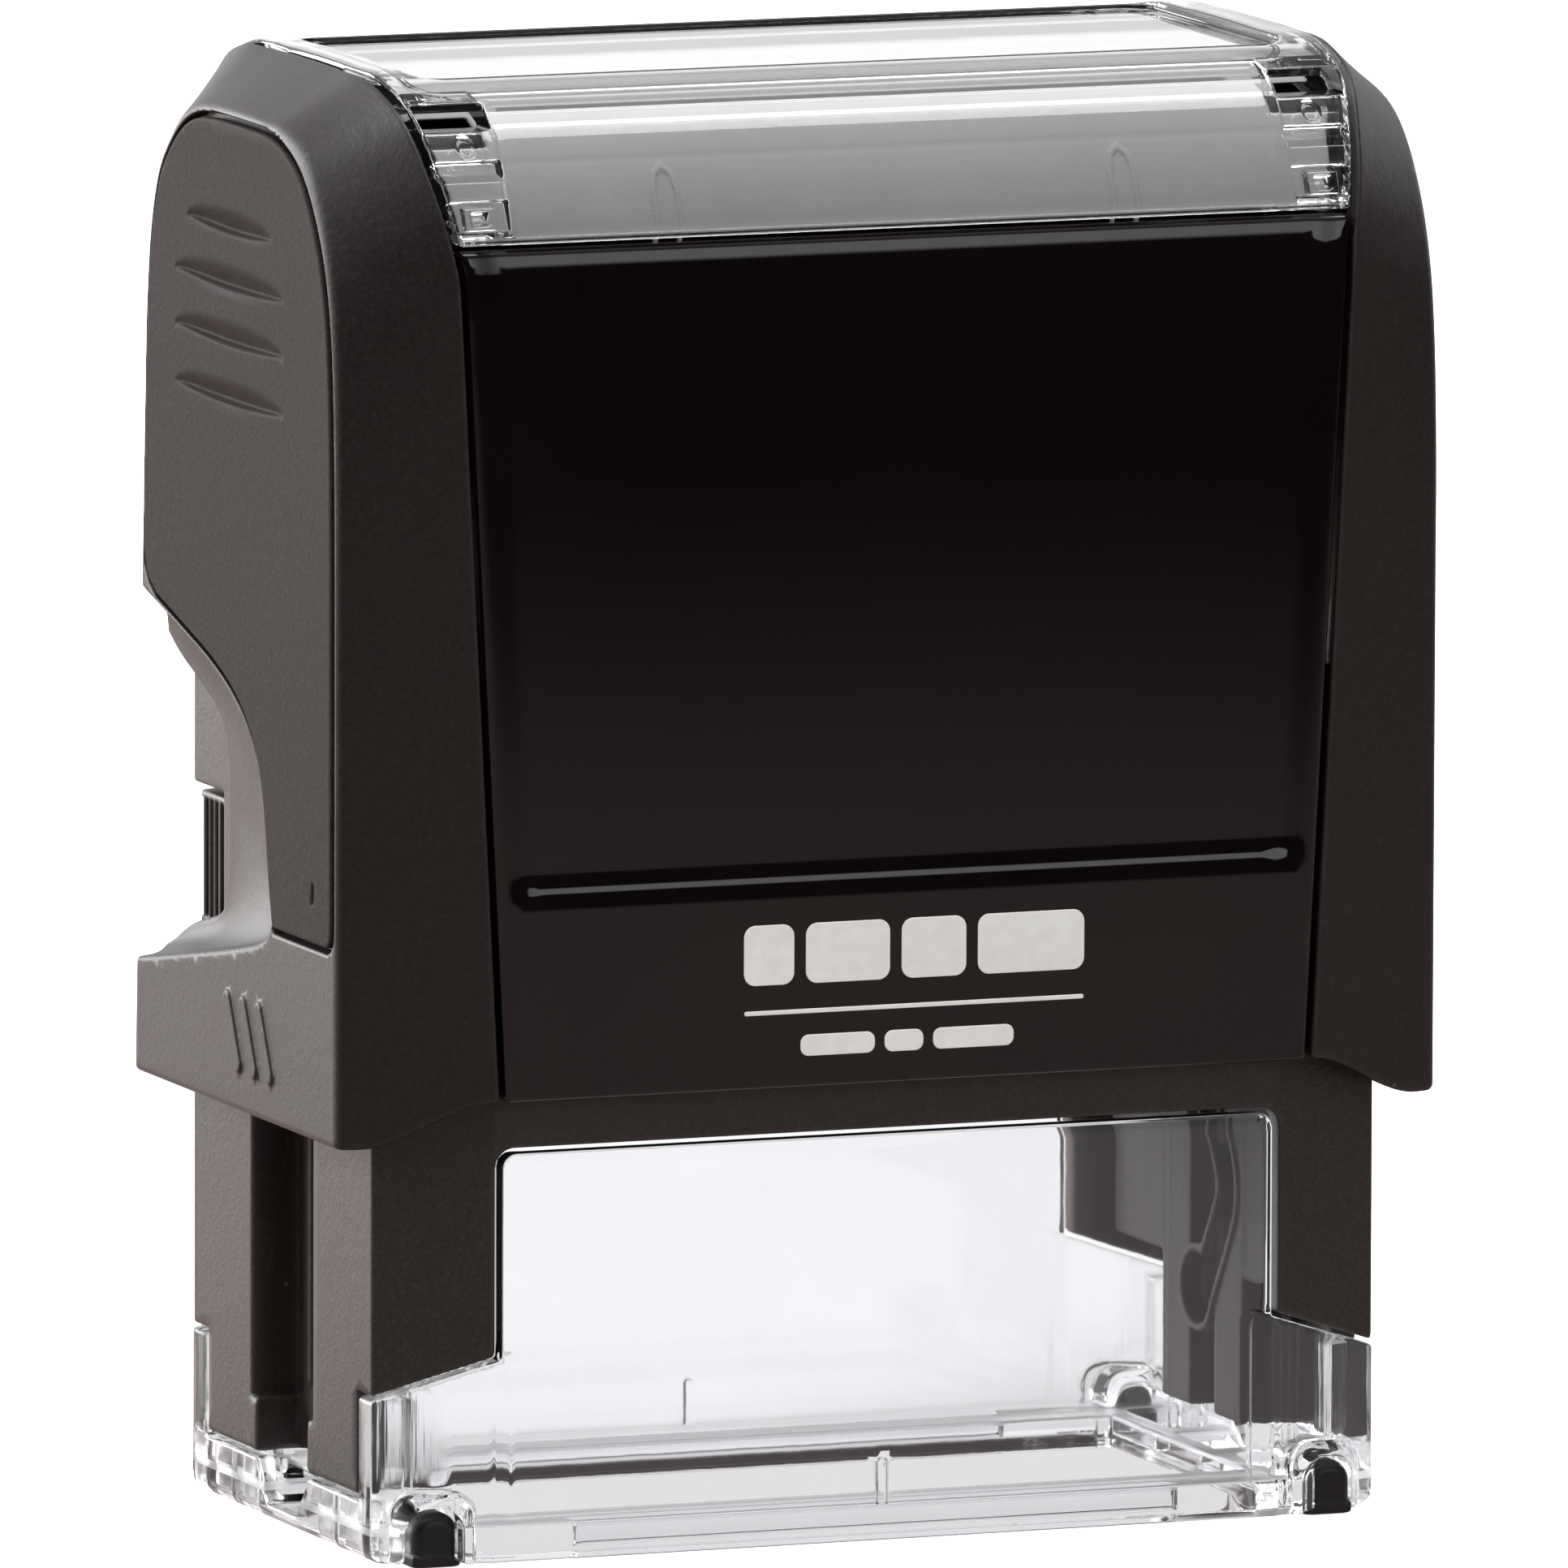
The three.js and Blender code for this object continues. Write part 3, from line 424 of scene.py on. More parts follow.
def grip():
    f = Field((33.4, -16.3, 36.0), (34.5, 15.1, 82.2), 0.12)
    X, Y, Z = f.X, f.Y, f.Z
    s = isect(prism_yz(f, chaikin(GRIP, 2), 1), slab(X, 33.45, 34.22), 0.24)
    depth = np.zeros((1, f.n[1], f.n[2]), F32)
    for y0, zl, hw, bow in ((0.5, 75.45, 7.0, 0.42), (0.5, 72.2, 9.0, 0.42), (0.5, 68.95, 9.0, 0.42), (0.5, 65.55, 9.0, 0.42)):
        u = (Y - F32(y0)) / F32(hw)
        body = np.clip(1 - u * u, 0, 1)
        lip = F32(zl) + F32(bow) * u * u
        tall = F32(1.75) * np.sqrt(body) + F32(0.02)
        w = (Z - lip) / tall
        shape = smooth(w / F32(0.2)) * smooth((F32(1.0) - w) / F32(0.95))
        depth = np.maximum(depth, F32(0.55) * np.sqrt(body) * shape)
    # moulding dimple
    depth = np.maximum(depth, F32(0.22) * smooth(1 - line_dist(Y[0], Z[0], [(-13.2, 38.5), (-13.3, 39.4)])[None] / F32(0.35)))
    gy, gz = np.gradient(depth[0], f.h)
    s = isect(s, (X - F32(34.22) + depth) / np.sqrt(1 + gy * gy + gz * gz)[None], 0.1)
    return polygonize("thumb_grip_right", f, s, 0.012, mirror="thumb_grip_left")


# ---------------------------------------------------------------- gloss panels, roof, window


def gloss_front():
    f = Field((-27.6, -20.1, 27.2), (27.6, -17.6, 76.6), 0.15)
    X, Y, Z = f.X, f.Y, f.Z
    prof = prism_yz(f, PROFILE_S, 1)
    edge = seam_x(Z) - np.abs(X)
    dish = smooth((edge - F32(0.6)) / F32(1.9)) * smooth((Z - F32(38.5)) / F32(1.9))
    s = prof + F32(0.25) * dish
    s = isect(s, -(prof + F32(1.7)), 0.2)
    s = isect(s, F32(0.15) - edge, 0.45)
    s = isect(s, slab(Z, PANEL_LOW, PANEL_TOP), 0.35)
    return polygonize("gloss_panel_front", f, s, 0.004)


def gloss_back():
    f = Field((-27.6, 17.6, BACK_HIGH - 0.2), (27.6, 20.1, 76.6), 0.17)
    X, Y, Z = f.X, f.Y, f.Z
    prof = prism_yz(f, PROFILE_S, 1)
    edge = seam_x(Z) - np.abs(X)
    s = prof + F32(0.2) * smooth((edge - F32(0.6)) / F32(1.8)) * smooth((Z - F32(BACK_HIGH + 2)) / F32(2.1))
    s = isect(s, -(prof + F32(1.7)), 0.2)
    s = isect(s, F32(0.15) - edge, 0.45)
    s = isect(s, slab(Z, BACK_HIGH, PANEL_TOP), 0.45)
    return polygonize("gloss_panel_back", f, s, 0.004)


def roof():
    f = Field((-29.4, -20.0, 74.9), (29.4, 20.0, 83.4), 0.2)
    X, Y, Z = f.X, f.Y, f.Z
    prof = prism_yz(f, PROFILE_S, 1)
    edge = seam_x(Z) - np.abs(X)
    s = isect(isect(prof + F32(2.6), -(prof + F32(4.1)), 0.2), F32(75.0) - Z, 0.1)
    ledge = isect(isect(prof + F32(1.75), -(prof + F32(4.1)), 0.1), slab(Z, 75.0, 76.4), 0.1)
    s = isect(union(s, ledge, 0.2), F32(0.2) - edge, 0.2)
    return polygonize("cap_roof", f, s, 0.01)


def window_cover():
    f = half_field((29.3, 20.0, 85.9), (-20.0, 76.7), 0.13)
    X, Y, Z = f.X, f.Y, f.Z
    prof = prism_yz(f, PROFILE_S, 1)
    edge = seam_x(Z) - X
    s = isect(prof, -(prof + F32(1.6)), 0.12)
    s = isect(s, F32(0.3) - edge, 0.25)
    s = isect(s, F32(PANEL_TOP + 0.3) - Z, 0.2)

    def span(t, a, b_, soft=0.14):
        return smooth((t - F32(a)) / F32(soft) + F32(0.5)) * smooth((F32(b_) - t) / F32(soft) + F32(0.5))

    # stepped pockets at the four ends: slot, tab with an ejector ring, steps, snap loop
    depth = F32(0.25) * span(Z, 81.3, 83.0) + F32(0.95) * span(Z, 80.4, 81.3) + F32(0.45) * span(Z, 79.2, 80.4) + F32(0.8) * span(Z, 77.4, 79.2)
    ring = span(X, 25.0, 27.0) * span(Z, 77.6, 79.0)
    hole = span(X, 25.5, 26.5) * span(Z, 77.97, 78.6)
    depth = depth - F32(0.65) * ring + F32(0.75) * hole
    c = np.sqrt((X - F32(26.1)) ** 2 + (Z - F32(82.1)) ** 2)
    depth = depth + F32(0.12) * smooth(F32(1.0) - np.abs(c - F32(0.55)) / F32(0.14))
    depth = depth * span(X, 24.2, 60.0) * smooth((edge - F32(0.4)) / F32(0.15))
    s = np.maximum(s, prof + depth)
    slot = isect(isect(slab(Z, 83.0, 84.35), F32(24.3) - X, 0.12), F32(0.55) - edge, 0.12)
    s = cut(s, isect(slot, F32(12.0) - np.abs(Y)), 0.08)
    # sunk top with a rim
    r = 2.0
    qx, qy = X - F32(27.0 - r), np.abs(Y) - F32(11.0 - r)
    rect = np.sqrt(np.maximum(qx, 0) ** 2 + np.maximum(qy, 0) ** 2) + np.minimum(np.maximum(qx, qy), 0) - F32(r)
    s = cut(s, isect(rect, F32(85.2) - Z, 0.0), 0.18)
    g, d = both_halves(f, s)
    return polygonize("clear_window", g, d, 0.006)


def prof_height(prof, z):
    """Height measured on the outer skin for a point just under it."""
    return z + F32(1.4) * smooth((z - F32(77.0)) / F32(7.0))


def index_card():
    f = half_field((28.6, 18.2, 84.1), (-18.2, 76.6), 0.14)
    X, Y, Z = f.X, f.Y, f.Z
    ay = np.abs(Y)
    prof = prism_yz(f, PROFILE_S, 1)
    edge = seam_x(Z) - X
    s = isect(isect(prof + F32(1.9), -(prof + F32(2.32)), 0.1), F32(76.7) - Z, 0.1)
    s = isect(s, F32(1.0) - edge, 0.12)
    # notches under the end slots, and a slit along both long edges of the top
    s = cut(s, isect(F32(24.2) - X, slab(prof_height(prof, Z), 82.6, 84.6)), 0.1)
    s = cut(s, isect(slab(ay, 11.3, 12.0), X - F32(22.6)), 0.05)
    for x0 in (14.1,):
        arch = line_dist(X[:, :, 0], Z[0], [(x0 - 0.75, 76.5), (x0 - 0.72, 79.0), (x0 - 0.5, 79.9), (x0, 80.3),
                                            (x0 + 0.5, 79.9), (x0 + 0.72, 79.0), (x0 + 0.75, 76.5)])[:, None, :]
        s = np.minimum(s, isect(isect(arch - F32(0.16), prof + F32(1.78), 0.08), -(prof + F32(2.1))))
    # fold
    s = s + F32(0.05) * smooth(1 - np.abs(Z - F32(80.7)) / F32(0.22))
    g, d = both_halves(f, s)
    return polygonize("label_card", g, d, 0.01)


# ---------------------------------------------------------------- frame


def plan(t=0.0):
    return [(-FRAME_FRONT_X + t * 0.15, -FRAME_Y + t), (FRAME_FRONT_X - t * 0.15, -FRAME_Y + t),
            (FRAME_X - t, -FRAME_SIDE_Y + t * 0.7), (FRAME_X - t, FRAME_SIDE_Y - t * 0.7),
            (FRAME_FRONT_X - t * 0.15, FRAME_Y - t), (-FRAME_FRONT_X + t * 0.15, FRAME_Y - t),
            (-FRAME_X + t, FRAME_SIDE_Y - t * 0.7), (-FRAME_X + t, -FRAME_SIDE_Y + t * 0.7)]


def leg_line(dz):
    return [(23, -5), (33, -5), (33, 9.2 + dz), (31.1, 9.8 + dz), (24.3, 12.1 + dz), (23, 12.5 + dz)]


TRACK = [(-FOLLOWER_R * math.sin(math.pi * i / 24),
          AXLE_Z - STROKE * i / 24 - FOLLOWER_R * math.cos(math.pi * i / 24)) for i in range(25)]


def lower_frame():
    f = half_field((FRAME_X + 0.1, FRAME_Y + 0.1, FRAME_TOP + 0.1), (-FRAME_Y - 0.1, LEG_LOW - 0.1), 0.17)
    X, Y, Z = f.X, f.Y, f.Z
    ay = np.abs(Y)
    p = prism_xy(f, plan())
    inner = p + F32(FRAME_WALL)
    s = isect(isect(p, -inner, 0.1), slab(Z, LEG_LOW, FRAME_TOP), 0.25)
    # windows with round upper corners
    r = 1.2
    qx, qz = X - F32(FRAME_FRONT_X - r), Z - F32(WINDOW_TOP - r)
    win = np.sqrt(np.maximum(qx, 0) ** 2 + np.maximum(qz, 0) ** 2) + np.minimum(np.maximum(qx, qz), 0) - F32(r)
    s = cut(s, isect(win, F32(8.0) - ay), 0.22)
    # slanted legs over the clear columns
    low = isect(prism_xz(f, leg_line(0)), F32(12.4) - ay)
    s = cut(s, low, 0.2)
    # channels, narrower at the foot
    half = F32(SLOT_Y) - F32(0.8) * smooth((F32(7.2) - Z) / F32(1.0))
    s = cut(s, isect(ay - half, F32(CHANNEL_IN - 3) - X), 0.22)
    s = union(s, isect(slab(ay, SLOT_Y, SLOT_Y + 1.3), isect(slab(X, CHANNEL_IN, FRAME_X - 0.4), slab(Z, LEG_LOW, FRAME_TOP), 0.15), 0.1), 0.15)
    s = union(s, box(f, CHANNEL_IN, CHANNEL_FLOOR, -SLOT_Y - 0.3, SLOT_Y + 0.3, LEG_LOW, FRAME_TOP, 0.15), 0.1)
    # flat inner side walls
    s = union(s, isect(isect(slab(X, CHANNEL_IN, CHANNEL_FLOOR), slab(ay, 6.0, 13.8), 0.12), slab(Z, 12.4, 42.5), 0.25), 0.15)
    # foot of the channel: lips that narrow it
    lip = isect(isect(slab(ay, 4.2, SLOT_Y + 0.5), slab(X, CHANNEL_FLOOR - 0.5, FRAME_X), 0.1), slab(Z, LEG_LOW, 7.0), 0.35)
    s = union(s, lip, 0.1)
    # rails beside the axle slot
    rail = isect(isect(slab(ay, 2.3, 2.85), slab(X, CHANNEL_FLOOR - 0.5, CHANNEL_FLOOR + 0.28), 0.12), slab(Z, LEG_LOW + 4, FRAME_TOP - 0.4), 0.2)
    s = union(s, rail, 0.08)
    s = cut(s, isect(ay - F32(1.8), isect(slab(X, CHANNEL_IN - 1, CHANNEL_FLOOR + 0.6), slab(Z, LEG_LOW - 1, AXLE_Z + 2.2)), 0.0), 0.12)
    # follower track with a fine rim
    track = line_dist(Y[0], Z[0], TRACK)[None]
    for by, bz, br in ((0.5, TRACK[0][1] - 0.6, 0.75), (0.6, TRACK[-1][1] + 0.8, 0.95)):
        track = union(track, np.sqrt((Y - F32(by)) ** 2 + (Z - F32(bz)) ** 2) - F32(br), 0.4)
    rim = isect(isect(np.abs(track - F32(1.42)) - F32(0.24), slab(X, CHANNEL_IN - 0.2, CHANNEL_IN + 0.4)), slab(Z, LEG_LOW, 40))
    s = union(s, rim, 0.06)
    s = cut(s, isect(track - F32(PIN_R + 0.32), slab(X, CHANNEL_IN - 1, CHANNEL_IN + TRACK_DEPTH)), 0.1)
    # deck, collar, closed top
    s = union(s, box(f, -CHANNEL_IN - 0.2, CHANNEL_IN + 0.2, -16.3, 16.3, DECK_Z0, DECK_Z1, 0.1), 0.2)
    rr = np.sqrt(X * X + Y * Y)
    s = union(s, isect(slab(rr, 6.4, 7.4), slab(Z, DECK_Z1 - 0.3, DECK_Z1 + 1.8), 0.15), 0.2)
    lid = isect(isect(p + F32(0.3), slab(Z, FRAME_TOP - 1.5, FRAME_TOP), 0.2), F32(7.2) - rr, 0.2)
    lid = cut(lid, isect(ay - F32(SLOT_Y), F32(CHANNEL_IN + 1) - X), 0.15)
    s = union(s, lid, 0.1)
    s = cut(s, box(f, -33, 33, 9.8, 20, CART_Z0 - 0.4, CART_Z1 + 0.4, 0.2), 0.15)
    g, d = both_halves(f, s)
    return polygonize("slotted_frame", g, d, 0.015)


# ---------------------------------------------------------------- clear base


def clear_base():
    f = half_field((FRAME_X + 0.1, FRAME_Y + 0.1, WINDOW_TOP), (-FRAME_Y - 0.1, -0.1), 0.15)
    X, Y, Z = f.X, f.Y, f.Z
    ay = np.abs(Y)
    p = prism_xy(f, plan())
    # the foot of the whole outline is chamfered a little
    foot = isect(p, (p + F32(0.55) - Z) * F32(0.7071), 0.1)
    floor = isect(foot, slab(Z, 0, 2.0), 0.18)
    floor = cut(floor, isect(np.maximum(X - F32(24.8), ay - F32(10.6)), slab(Z, -1, 3)), 0.25)
    s = floor
    wall = isect(foot, -(p + F32(1.5)), 0.1)
    # low side walls under the legs, with upright ribs on their inner face
    side = isect(isect(wall, slab(Z, 1.0, LEG_LOW - 0.3), 0.2), ay - F32(14.8), 0.1)
    s = union(s, side, 0.15)
    # a trough behind the low wall, with upright ribs standing against it
    s = cut(s, isect(isect(slab(ay, 4.9, 12.2), slab(X, 26.3, 29.7), 0.4), F32(0.55) - Z, 0.3), 0.12)
    for y0, y1, x0 in ((7.6, 9.4, 28.7),):
        rib = isect(isect(slab(ay, y0, y1), slab(X, x0, 30.2), 0.15), slab(Z, 0.4, 3.4), 0.15)
        s = union(s, rib, 0.1)
    # corner columns: a thin wall along the bevel and a thick post at the corner
    keep = isect(prism_xz(f, leg_line(-0.3)), F32(12.7) - ay)
    s = union(s, isect(isect(wall, slab(Z, 1.0, 13), 0.1), keep, 0.12), 0.15)
    post = isect(isect(foot, np.maximum(F32(28.4) - X, F32(12.75) - ay), 0.25), F32(1.0) - Z, 0.1)
    s = union(s, isect(post, isect(keep, Z - F32(9.6)), 0.15), 0.1)
    # rounded housings of the rubber feet
    hx, hz = np.abs(X - F32(27.7)), Z - F32(2.2)
    dome = np.sqrt(np.maximum(hx - F32(1.05), 0) ** 2 + np.maximum(hz - F32(0.75), 0) ** 2) - F32(1.25)
    dome = isect(isect(dome, slab(ay, 12.9, FRAME_Y), 0.35), slab(Z, 0.05, 6), 0.12)
    dome = isect(dome, (ay + F32(0.335) * (X - F32(27.7)) - F32(16.95)) * F32(0.948), 1.1)
    s = union(s, dome, 0.12)
    # panes in the front and back windows
    pane = isect(isect(slab(ay, FRAME_Y - 1.4, FRAME_Y), X - F32(23.9), 0.15), slab(Z, 1, WINDOW_TOP - 0.3), 0.15)
    r = 1.0
    qx, qz = X - F32(23.9 - r), Z - F32(WINDOW_TOP - 0.3 - r)
    win = np.sqrt(np.maximum(qx, 0) ** 2 + np.maximum(qz, 0) ** 2) + np.minimum(np.maximum(qx, qz), 0) - F32(r)
    s = union(s, isect(pane, win, 0.1), 0.12)
    s = union(s, isect(isect(slab(ay, FRAME_Y - 1.4, FRAME_Y), isect(X - F32(25.5), F32(23.0) - X), 0.1), isect(slab(Z, 0.5, 11.4), p, 0.1), 0.12), 0.1)
    # pockets of the feet
    hz = Z - F32(1.9)
    pocket = np.sqrt(np.maximum(hx - F32(0.25), 0) ** 2 + np.maximum(hz, 0) ** 2) - F32(1.5)
    pocket = isect(np.maximum(pocket, hx - F32(1.75)), slab(ay, 13.4, FRAME_Y - 0.3), 0.25)
    s = cut(s, pocket, 0.1)
    # V notch under each channel
    notch = poly2(Y.reshape(-1, 1), Z.reshape(1, -1), [(-4.5, 5.5), (-4.5, 3.9), (-2.4, 1.0), (2.4, 1.0), (4.5, 3.9), (4.5, 5.5)])[None]
    s = cut(s, isect(np.broadcast_to(notch, tuple(f.n)), F32(26) - X), 0.2)
    # long slit in the floor behind each pane
    slit = isect(isect(X - F32(18.8), slab(ay, 13.4, 14.5), 0.5), F32(0.7) - Z, 0.0)
    s = cut(s, slit, 0.2)
    # centre marks
    s = union(s, isect(isect(X - F32(0.28), slab(ay, FRAME_Y - 1.9, FRAME_Y - 0.05), 0.1), slab(Z, 1.6, 4.75), 0.12), 0.08)
    g, d = both_halves(f, s)
    return polygonize("clear_base", g, d, 0.008)


def rubber_feet():
    f = Field((-1.6, -1.6, 0), (1.6, 1.6, 3.7), 0.07)
    X, Y, Z = f.X, f.Y, f.Z
    body = np.sqrt(np.maximum(np.abs(X) - F32(0.15), 0) ** 2 + np.maximum(Z - F32(1.85), 0) ** 2) - F32(1.28)
    s = isect(isect(body, slab(Y, -1.35, 1.35), 0.75), -Z, 0.12)
    s = union(s, isect(isect(np.abs(X) - F32(1.5), slab(Y, -1.35, 1.35), 0.3), slab(Z, 0.0, 0.7), 0.2), 0.1)
    base = polygonize("foot_master", f, s, 0.01)
    out = {}
    for name, x, y in (("rubber_foot_front_left", -27.7, -15.3), ("rubber_foot_front_right", 27.7, -15.3),
                       ("rubber_foot_rear_left", -27.7, 15.3), ("rubber_foot_rear_right", 27.7, 15.3)):
        me = base.data.copy()
        me.transform(Matrix.Translation((x / 1000, y / 1000, 0)))
        o = bpy.data.objects.new(name, me)
        bpy.context.scene.collection.objects.link(o)
        out[name] = o
    bpy.data.objects.remove(base)
    return out


# ---------------------------------------------------------------- cartridge, buttons, spring


def cartridge():
    f = half_field((CART_HEAD_X + 0.1, 16.9, CART_Z1 + 0.1), (-14.1, CART_Z0 - 0.1), 0.16)
    X, Y, Z = f.X, f.Y, f.Z
    s = box(f, -25.8, 25.8, -14.0, 10.6, CART_Z0, CART_Z1, 0.25)
    head = prism_xy(f, [(-CART_HEAD_X, 10.1), (CART_HEAD_X, 10.1), (CART_HEAD_X, 14.7), (24.3, 16.8), (-24.3, 16.8), (-CART_HEAD_X, 14.7)])
    s = union(s, isect(head, slab(Z, CART_Z0, CART_Z1), 0.3), 0.15)
    s = cut(s, box(f, -24.5, 24.5, -9.8, 9.8, CART_Z0 - 2, 38.6, 0.1), 0.12)
    s = cut(s, box(f, -24.5, 24.5, -15, -9, CART_Z0 - 2, PAD_FACE - 0.1, 0.0), 0.12)
    for i in range(5):
        y = 10.95 + i * 0.85
        groove = isect(isect(slab(Y, y, y + 0.42), F32(CART_HEAD_X - 0.55) - X), slab(Z, CART_Z0 + 0.5, CART_Z1 - 0.5))
        s = cut(s, groove, 0.1)
    # finger recess in the back face
    well = isect(isect(X - F32(9.0), F32(16.1) - Y), slab(Z, CART_Z0 + 1.6, CART_Z1 - 1.6))
    s = cut(s, well, 0.4)
    for i in range(4):
        z = CART_Z0 + 2.3 + i * 1.1
        s = union(s, isect(isect(X - F32(8.0), slab(Y, 15.9, 16.5), 0.15), slab(Z, z, z + 0.5), 0.15), 0.1)
    g, d = both_halves(f, s)
    return polygonize("cartridge_body", g, d, 0.015)


def lock_button(name, x):
    f = Field((x - 3.4, CAP_Y - 2.2, 28.1), (x + 3.4, CAP_Y + 0.1, 30.4), 0.08)
    X, Y, Z = f.X, f.Y, f.Z
    s = isect(isect(isect(np.abs(X - F32(x)) - F32(3.3), np.abs(Z - F32(29.25)) - F32(1.05), 0.45), slab(Y, CAP_Y - 2.1, CAP_Y), 0.2), Y - F32(CAP_Y))
    for k in range(-2, 3):
        s = cut(s, isect(np.abs(X - F32(x + k * 1.0)) - F32(0.14), F32(CAP_Y - 0.25) - Y), 0.06)
    return polygonize(name, f, s, 0.01)


def latch_bar():
    f = Field((-24.8, 18.3, 27.2), (24.8, 20.1, 31.3), 0.13)
    X, Y, Z = f.X, f.Y, f.Z
    s = isect(isect(slab(Z, PANEL_LOW, 31.2), np.abs(X) - F32(24.7), 0.3), slab(Y, CAP_Y - 1.6, CAP_Y), 0.3)
    hole = isect(np.abs(np.abs(X) - F32(15.5)) - F32(3.6), np.abs(Z - F32(29.25)) - F32(1.35), 0.5)
    s = cut(s, hole, 0.12)
    return polygonize("latch_strip", f, s, 0.01)


def main_spring():
    z0, z1 = DECK_Z1 + 0.3 + WIRE_R, BOW_ROOF_Z0 - 0.3 - WIRE_R
    n, sides = int(TURNS * 30 / COARSE), 12
    t = np.linspace(0, 1, n + 1)
    a = 2 * math.pi * TURNS * t
    # the end turns lie closer
    rise = np.interp(t, [0, 0.09, 0.91, 1], [0, 0.028, 0.972, 1])
    c = np.stack([SPRING_R * np.cos(a), SPRING_R * np.sin(a), z0 + (z1 - z0) * rise], 1)
    tan = np.gradient(c, axis=0)
    tan /= np.linalg.norm(tan, axis=1)[:, None]
    out = np.stack([np.cos(a), np.sin(a), 0 * a], 1)
    up = np.cross(tan, out)
    co = []
    for k in range(sides):
        b = 2 * math.pi * k / sides
        co.append(c + WIRE_R * (math.cos(b) * out + math.sin(b) * up))
    co = np.stack(co, 1).reshape(-1, 3)
    quads = []
    for i in range(n):
        for k in range(sides):
            k2 = (k + 1) % sides
            quads.append((i * sides + k, i * sides + k2, (i + 1) * sides + k2, (i + 1) * sides + k))
    co = np.vstack([co, c[0] - tan[0] * 0.1, c[-1] + tan[-1] * 0.1])
    e0, e1 = len(co) - 2, len(co) - 1
    tris = [(e0, (k + 1) % sides, k) for k in range(sides)]
    tris += [(e1, n * sides + k, n * sides + (k + 1) % sides) for k in range(sides)]
    co = co * 0.001
    q = np.array(quads)
    a0, b0, c0 = co[q[:, 0]], co[q[:, 1]], co[q[:, 2]]
    mid = np.repeat(c[:-1] * 0.001, sides, 0)
    if (np.cross(b0 - a0, c0 - b0) * (a0 - mid)).sum() < 0:
        quads = [t_[::-1] for t_ in quads]
        tris = [t_[::-1] for t_ in tris]
    return build_mesh("coil_spring", co, tris, quads)


def rounded_loop(cx, cz, hw, hh, r, per=8):
    pts = []
    for q, (sx, sz) in enumerate(((1, 1), (-1, 1), (-1, -1), (1, -1))):
        for k in range(per + 1):
            t = math.pi / 2 * (q + k / per)
            pts.append((cx + sx * (hw - r) + r * math.cos(t), cz + sz * (hh - r) + r * math.sin(t)))
    return pts


def painted_shade_bead():
    """A thin dark bead lying in the corner of the sunk top: painted shade, a black line standing in for the shaded
    edge of the sunk top.
    """
    loop = rounded_loop(0, 0, 26.8, 10.8, 1.9, 10)
    loop = [q for i, q in enumerate(loop) if i == 0 or math.dist(q, loop[i - 1]) > 1e-6]
    n, sides, r = len(loop), 8, 0.13
    co, faces = [], []
    for i, (x, y) in enumerate(loop):
        ax, ay = loop[i - 1]
        bx, by = loop[(i + 1) % n]
        l = math.hypot(bx - ax, by - ay)
        nx, ny = (by - ay) / l, -(bx - ax) / l
        for k in range(sides):
            t = 2 * math.pi * k / sides
            co.append(((x + nx * r * math.cos(t)) * 0.001, (y + ny * r * math.cos(t)) * 0.001, (85.36 + r * math.sin(t)) * 0.001))
    for i in range(n):
        j = (i + 1) % n
        for k in range(sides):
            k2 = (k + 1) % sides
            faces.append((i * sides + k, j * sides + k, j * sides + k2, i * sides + k2))
    me = bpy.data.meshes.new("window_painted_shade_bead")
    me.from_pydata(co, [], faces)
    bm = bmesh.new()
    bm.from_mesh(me)
    bmesh.ops.recalc_face_normals(bm, faces=bm.faces)
    bm.to_mesh(me)
    bm.free()
    me.polygons.foreach_set("use_smooth", np.ones(len(me.polygons), bool))
    ob = bpy.data.objects.new("window_painted_shade_bead", me)
    bpy.context.scene.collection.objects.link(ob)
    return ob


def printed_mark():
    """A plain generic mark in white ink: a row of blank bars, a thin rule and a row of smaller bars."""
    y0, y1, lip = -19.9, -20.05, 0.03
    co, faces = [], []
    bars = []
    x = -10.2
    for w in (3.1, 5.2, 4.0, 6.6):
        bars.append((x + w / 2, 35.1, w / 2, 1.75, 0.7))
        x += w + 0.72
    bars.append((0.33, 31.75, 10.5, 0.13, 0.12))
    x = -6.7
    for w in (4.6, 2.4, 5.0):
        bars.append((x + w / 2, 29.75, w / 2, 0.62, 0.5))
        x += w + 0.6
    for cx, cz, hw, hh, r in bars:
        n = len(co)
        rings = [[(a, y0, b) for a, b in rounded_loop(cx, cz, hw, hh, r)],
                 [(a, y1 + lip, b) for a, b in rounded_loop(cx, cz, hw, hh, r)],
                 [(a, y1, b) for a, b in rounded_loop(cx, cz, hw - lip, hh - lip, max(r - lip, 0.05))]]
        m = len(rings[0])
        for ring in rings:
            co += ring
        for k in range(2):
            for i in range(m):
                j = (i + 1) % m
                faces.append((n + k * m + i, n + (k + 1) * m + i, n + (k + 1) * m + j, n + k * m + j))
        faces.append(tuple(n + 2 * m + i for i in range(m))[::-1])
        faces.append(tuple(n + i for i in range(m)))
    me = bpy.data.meshes.new("white_bar_print")
    me.from_pydata([(a * 0.001, b * 0.001, c * 0.001) for a, b, c in co], [], faces)
    bm = bmesh.new()
    bm.from_mesh(me)
    bmesh.ops.remove_doubles(bm, verts=bm.verts, dist=1e-7)
    bmesh.ops.recalc_face_normals(bm, faces=bm.faces)
    bm.to_mesh(me)
    bm.free()
    ob = bpy.data.objects.new("white_bar_print", me)
    bpy.context.scene.collection.objects.link(ob)
    return ob


# ---------------------------------------------------------------- materials


def new_mat(name):
    m = bpy.data.materials.new(name)
    m.use_nodes = True
    nt = m.node_tree
    nt.nodes.clear()
    out = nt.nodes.new("ShaderNodeOutputMaterial")
    return m, nt, out


